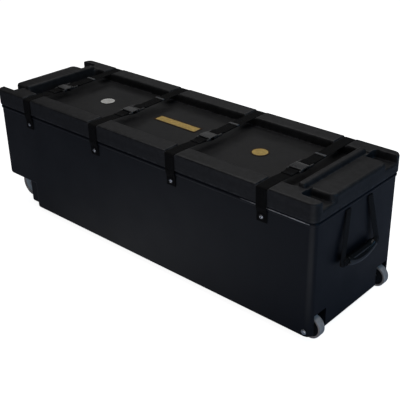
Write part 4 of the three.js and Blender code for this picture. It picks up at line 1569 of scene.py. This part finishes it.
@dataclass
class Wheel:
    """One wheel with a tyre and a dished hub, turning about an axis along Y.

    The profiles give steps in from the tyre's or the rim's radius and from its face, as shares of the crown.
    """

    side: Side
    kind: str
    radius: float
    depth: float
    outer_y: float
    inner_y: float
    x: float
    bore: float
    hub_finish: Finish
    hub_slot: str
    cad_sides: int = 28
    shoulder: Profile = ((2.2, 0.1), (1.2, 0.0), (0.5, 0.2), (0.12, 0.7), (0.0, 1.6))
    lip: Profile = ((1.6, 1.4), (0.4, 1.0), (0.0, 1.3))
    boss_steps: tuple[float, ...] = (1.2, 0.7, 0.12)
    gutter: float = 2.6
    face_share: float = 0.84
    dish_share: float = 0.68
    sides: int = 72

    def tyre_profile(self, outer: float, seat: float, half: float) -> Profile:
        """Draws one half of the tyre's section.

        Args:
            outer: The radius on which it rolls.
            seat: The radius where it sits on the hub.
            half: Half of the wheel's width.

        Returns:
            The radius of each point and its distance from the wheel's middle.
        """
        crown = self.depth / 4
        points = [(seat, half - crown / 2)]
        points += [(outer - inward * crown, half - down * crown) for inward, down in self.shoulder]
        return points

    def hub_profile(self, rim: float, half: float) -> Profile:
        """Draws one half of the hub's section.

        Args:
            rim: The hub's radius.
            half: Half of the wheel's width.

        Returns:
            The radius of each point and its distance from the wheel's middle.
        """
        crown = self.depth / 4
        boss = (self.bore + rim) / 2
        face, dish = half * self.face_share, half * self.dish_share
        near, nearer, drop = (step * crown for step in self.boss_steps)
        points = [(self.bore, face), (boss - near, face), (boss - nearer, face - drop)]
        points += [(boss, dish), (rim - self.gutter * crown, dish)]
        points += [(rim - inward * crown, half - down * crown) for inward, down in self.lip]
        return points

    def build(self) -> None:
        """Turns the tyre and the hub; the wheel stands on a flat of its many-sided CAD node."""
        middle = self.side.value * (self.outer_y + self.inner_y) / 2
        half = (self.outer_y - self.inner_y) / 2
        outer = self.radius * math.cos(math.pi / self.cad_sides)
        seat = self.radius - self.depth
        centre = Vector((self.x, 0, outer))
        name = f"{self.kind}_{self.side.word}"
        for part, wall, finish, slot in (
            ("tyre", self.tyre_profile(outer, seat, half), TYRE_GREY, "tyre"),
            ("hub", self.hub_profile(seat - SIZES.seat_gap, half), self.hub_finish, self.hub_slot),
        ):
            profile = [(r, middle + y) for r, y in wall] + [(r, middle - y) for r, y in reversed(wall)]
            piece = turned(f"{name}_{part}_turned", profile, centre, Axis.ALONG_Y, finish, self.sides)
            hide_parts(f"{name}_{part}")
            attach(piece, name)


@dataclass
class SmallWheel(Wheel):
    """A small wheel in a pocket at the right end."""

    kind: str = "small_wheel"
    radius: float = 0.037
    depth: float = 0.007
    outer_y: float = 0.191
    inner_y: float = 0.165
    x: float = 0.690
    bore: float = 0.0043
    hub_finish: Finish = SMALL_HUB_PLASTIC
    hub_slot: str = "hub"


@dataclass
class LargeWheel(Wheel):
    """A large wheel under the step at the left end."""

    kind: str = "large_wheel"
    radius: float = 0.050
    depth: float = 0.012
    outer_y: float = 0.152
    inner_y: float = 0.116
    x: float = -0.676
    bore: float = 0.0063
    hub_finish: Finish = LARGE_HUB_PLASTIC
    hub_slot: str = "large_hub"


@dataclass
class RunningGear:
    """The four wheels, their axles and the brackets under the step."""

    easing: EdgeEasing = EdgeEasing(0.0004)

    def build(self) -> None:
        """Builds the wheels and dresses what carries them."""
        for side in Side:
            SmallWheel(side).build()
            LargeWheel(side).build()
            self.dress(f"small_axle_{side.word}", BRIGHT_STEEL, "steel")
            self.dress(f"wheel_bracket_{side.word}", BLACK_STEEL, "black_steel")
        self.dress("large_axle", BRIGHT_STEEL, "steel")

    def dress(self, node: str, finish: Finish, slot: str) -> None:
        """Refines a piece that is fixed to the tub.

        Args:
            node: The piece's CAD node.
            finish: The finish it wears.
            slot: Its material slot; not used.
        """
        piece = self.easing.refined(node, finish)
        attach(piece, "tub")


@dataclass
class CarryHandle:
    """A webbing handle with a tube grip at one end of the case."""

    end: End
    top_half_span: float = 0.058
    bottom_half_span: float = 0.092
    leg_length: float = 0.158
    leg_straight: float = 0.007
    leg_splay: float = 0.001
    leg_overrun: float = 0.004
    leg_bends: tuple[float, ...] = (0.005, 0.013, 0.010)
    leg_rounding: Rounding = Rounding(steps=10)
    leg_points: int = 32
    mouth_gap: float = 0.004
    tuck: float = 0.014
    roll_length: float = 0.030
    rolled_end: float = 0.050
    rolled_squareness: float = 2.4
    core_radius: float = 0.0087
    webbing_width: float = 0.025
    grip_radius: float = 0.0145
    grip_bore: float = 0.0095
    grip_half_span: float = 0.072
    grip_top: float = 0.158
    grip_sag: float = 0.017
    grip_ease: float = 0.0012
    grip_stations: int = 40
    grip_sides: int = 32
    crease_degrees: float = 50.0
    wall_gap: float = 0.0016
    tab_step: float = 0.002
    tab_stop_share: float = 0.45
    tab_squareness: float = 6.0

    @property
    def frame(self) -> Matrix:
        """Works out the place and tilt of the hanging handle, turned about for the left end.

        Returns:
            The matrix from the handle's own plane to the case's frame.
        """
        grip_x = SIZES.tub_half_x + self.wall_gap + self.grip_radius
        tilt = math.asin((grip_x - SIZES.handle_pivot_x) / (self.grip_top + self.grip_sag / 2))
        turn = Matrix.Rotation(0.0 if self.end is End.RIGHT else math.pi, 4, "Z")
        place = Matrix.Translation((SIZES.handle_pivot_x, 0, SIZES.handle_height))
        return turn @ place @ Matrix.Rotation(-tilt, 4, "Y")

    def grip_point(self, y: float) -> Vector:
        """Finds a point on the grip's curve.

        Args:
            y: Its distance from the middle of the grip.

        Returns:
            The point, in the handle's own plane.
        """
        share = y / self.grip_half_span
        low = self.grip_top + self.grip_sag
        return Vector((0, y, -low + self.grip_sag * share * share))

    def grip_shape(self) -> Profile:
        """Draws the tube's wall, from the bore of one mouth to the bore of the other.

        Returns:
            The place of each ring along the grip, and its radius.
        """
        outer, bore, ease, mouth = self.grip_radius, self.grip_bore, self.grip_ease, self.grip_half_span
        stations = [-mouth + 2 * mouth * step / self.grip_stations for step in range(self.grip_stations + 1)]
        shape = [(-mouth, bore), (-mouth, outer - ease), (-mouth + ease, outer)]
        shape += [(y, outer) for y in stations if abs(y) < mouth - ease]
        shape += [(mouth - ease, outer), (mouth, outer - ease), (mouth, bore)]
        return shape

    def build_grip(self) -> None:
        """Sweeps the hollow tube along the grip's curve."""
        shape = self.grip_shape()
        up = Vector((1, 0, 0))
        vertices = []
        for y, radius in shape:
            slope = 2 * self.grip_sag * y / self.grip_half_span**2
            side = Vector((0, 1, slope)).normalized().cross(up)
            vertices += circle(self.grip_point(y), up, side, radius, self.grip_sides)
        faces = ring_faces(len(shape), self.grip_sides, looped=True)
        name = f"handle_{self.end.word}_grip_tube"
        grip = mesh_object(name, [self.frame @ v for v in vertices], faces, GRIP_PLASTIC)
        face_outward(grip)
        crease(grip, self.crease_degrees)
        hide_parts(f"handle_{self.end.word}_grip")
        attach(grip, f"handle_{self.end.word}")

    def leg_route(self, side: int) -> list[Vector]:
        """Draws a leg from its knuckle at the wall down into the grip.

        Args:
            side: 1 for the leg on the +Y side of the right handle, -1 for the other.

        Returns:
            The route's points, in the case's frame.
        """
        top = Vector((0, side * self.top_half_span, 0))
        hang = top - Vector((0, 0, self.leg_straight))
        foot_y = side * (self.bottom_half_span + self.leg_splay)
        low = Vector((0, foot_y, -self.leg_length - self.leg_overrun))
        mouth = self.grip_point(side * (self.grip_half_span + self.mouth_gap))
        inner = self.grip_point(side * (self.grip_half_span - self.tuck))
        corners = [(top, 0.0), *zip((hang, low, mouth), self.leg_bends), (inner, 0.0)]
        return [self.frame @ p for p in divided(self.leg_rounding.route(corners), SIZES.route_step)]

    def build_leg(self, side: int) -> bpy.types.Object:
        """Makes one leg, which is flat at the wall and rolled where it enters the grip.

        Args:
            side: 1 for the leg on the +Y side of the right handle, -1 for the other.

        Returns:
            The leg.
        """
        route = self.leg_route(side)
        total = sum((b - a).length for a, b in zip(route, route[1:]))
        roll, start = self.roll_length / total, 1 - self.rolled_end / total
        word = "front" if side * self.end.value < 0 else "back"

        def rolled(flat: float, core: float) -> Callable[[float], float]:
            """A size that changes smoothly as the webbing is rolled from flat to round."""

            def size(share: float) -> float:
                """The size at one place along the leg."""
                value = min(1.0, max(0.0, (share - start) / roll))
                return flat + (core - flat) * (value * value * (3 - 2 * value))

            return size

        return Band(
            f"handle_{self.end.word}_leg_{word}",
            route,
            self.frame.to_3x3() @ Vector((0, 1, 0)),
            HANDLE_WEBBING,
            rolled(self.webbing_width - SIZES.webbing_slack, 2 * self.core_radius),
            rolled(SIZES.webbing, 2 * self.core_radius),
            rolled(SIZES.webbing_squareness, self.rolled_squareness),
            self.leg_points,
        ).build()

    def build_tab(self, side: Side) -> None:
        """Builds the webbing's way through the wall, with its sewn stop inside.

        Args:
            side: The side of the handle it is on.
        """
        node = f"handle_{self.end.word}_tab_{side.word}"
        low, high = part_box(node)
        middle = (low + high) / 2
        reach = Vector((self.end.value * (high.x - low.x) / 2, 0, 0))
        band = Band(
            node + "_webbing",
            divided([middle - reach, middle + reach], self.tab_step),
            Vector((0, 1, 0)),
            HANDLE_WEBBING,
            even(self.webbing_width - SIZES.webbing_slack),
            lambda share: high.z - low.z if share < self.tab_stop_share else SIZES.webbing,
            even(self.tab_squareness),
        ).build()
        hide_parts(node)
        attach(band, "tub")

    def build(self) -> None:
        """Builds the grip, the legs and the tabs in the wall."""
        self.build_grip()
        for side in (-1, 1):
            leg = self.build_leg(side)
            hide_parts(f"handle_{self.end.word}_webbing")
            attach(leg, f"handle_{self.end.word}")
        for side in Side:
            self.build_tab(side)


# Light, floor and camera


@dataclass(frozen=True)
class SoftLight:
    """One soft rectangular light: its place, size, power in watts, colour and the point that it faces."""

    name: str
    place: Point
    size: tuple[float, float]
    power: float
    colour: Colour
    target: Point = (0.0, 0.0, 0.3)

    def build(self) -> None:
        """Hangs the light and aims it."""
        data = bpy.data.lights.new(self.name, "AREA")
        data.shape = "RECTANGLE"
        data.size, data.size_y = self.size
        data.energy = self.power
        data.color = self.colour
        light = bpy.data.objects.new(self.name, data)
        bpy.context.scene.collection.objects.link(light)
        aim = Vector(self.target) - Vector(self.place)
        turn = aim.to_track_quat("-Z", "Y").to_matrix().to_4x4()
        light.matrix_world = Matrix.Translation(self.place) @ turn


LIGHTS = (
    SoftLight("over_light", (-0.6, -0.4, 3.2), (3.6, 3.0), 12.0, (1.0, 0.99, 0.98)),
    SoftLight("top_light", (0.2, 0.6, 2.8), (3.2, 2.6), 19.0, (1.0, 0.99, 0.98)),
    SoftLight("key_light", (-2.6, 0.9, 4.2), (1.6, 1.6), 5.0, (1.0, 0.99, 0.97)),
    SoftLight("right_light", (3.2, 0.3, 1.6), (2.0, 1.4), 10.0, (0.22, 0.58, 1.0)),
    SoftLight("low_light", (0.4, -2.6, 0.25), (2.4, 0.4), 3.0, (0.75, 0.78, 1.0), target=(0.1, -0.22, 0.1)),
    SoftLight("spark_light", (2.2, -2.2, 0.9), (0.6, 0.6), 4.0, (1.0, 1.0, 1.0)),
    SoftLight("back_light", (-2.4, 2.8, 1.9), (2.5, 1.0), 2.5, (1.0, 1.0, 1.0)),
)


@dataclass
class Studio:
    """A pale floor, soft lights and the camera at the photograph's angle."""

    place: Point = (1.7281, -1.7511, 1.4301)
    yaw: float = 41.378
    pitch: float = 27.003
    roll: float = 0.573
    lens: float = 71.015
    sensor: float = 36.0
    shift: tuple[float, float] = (-0.05243, -0.02293)
    floor_half: float = 20.0
    room_colour: Rgba = (0.9, 0.93, 1.0, 1)
    room_glow: Range = (0.02, 1.0)

    def build_camera(self) -> None:
        """Sets the camera up from its three angles."""
        data = bpy.data.cameras.new("camera")
        data.lens = self.lens
        data.sensor_width = self.sensor
        data.shift_x, data.shift_y = self.shift
        camera = bpy.data.objects.new("camera", data)
        bpy.context.scene.collection.objects.link(camera)
        turn = (
            Matrix.Rotation(math.radians(self.yaw), 4, "Z")
            @ Matrix.Rotation(math.radians(90 - self.pitch), 4, "X")
            @ Matrix.Rotation(math.radians(-self.roll), 4, "Z")
        )
        camera.matrix_world = Matrix.Translation(self.place) @ turn
        bpy.context.scene.camera = camera

    def build_floor(self) -> None:
        """Lays the wide floor."""
        half = self.floor_half
        corners = [Vector((x * half, y * half, 0)) for x, y in ((-1, -1), (1, -1), (1, 1), (-1, 1))]
        floor = mesh_object("floor", corners, [(0, 1, 2, 3)], PALE_FLOOR)

    def build_room(self) -> None:
        """Surrounds the case with a room that is pale to the camera and nearly dark to the case."""
        world = bpy.data.worlds.new("soft_room")
        world.use_nodes = True
        background = world.node_tree.nodes["Background"]
        background.inputs["Color"].default_value = self.room_colour
        sheet = NodeSheet(world.node_tree)
        seen = sheet.add("ShaderNodeLightPath").outputs["Is Camera Ray"]
        glow = sheet.spread(seen, 0.0, 1.0, *self.room_glow)
        world.node_tree.links.new(glow, background.inputs["Strength"])
        bpy.context.scene.world = world
        bpy.context.scene.view_settings.view_transform = "Standard"

    def build(self) -> None:
        """Builds the floor, the lights, the room and the camera."""
        self.build_floor()
        for light in LIGHTS:
            light.build()
        self.build_room()
        self.build_camera()


def report(assembly: SubAssembly) -> None:
    """Builds one sub-assembly and logs each piece that it makes.

    Args:
        assembly: The sub-assembly.
    """
    known = {piece.name for piece in bpy.data.objects}
    assembly.build()
    for piece in bpy.data.objects:
        if piece.name not in known:
            log.info("%s: %d faces", piece.name, len(piece.data.polygons))


def main() -> None:
    """Builds every sub-assembly in order, and then the studio round it."""
    logging.basicConfig(level=logging.INFO, format="%(name)s: %(message)s")
    report(MouldedShells())
    for number, tail_share in enumerate((0.5, 0.58, 0.5, 0.39), start=1):
        report(Strap(number, tail_share))
    report(PanelTrim())
    report(RunningGear())
    for end in End:
        report(CarryHandle(end))
    Studio().build()


if __name__ == "__main__":
    main()
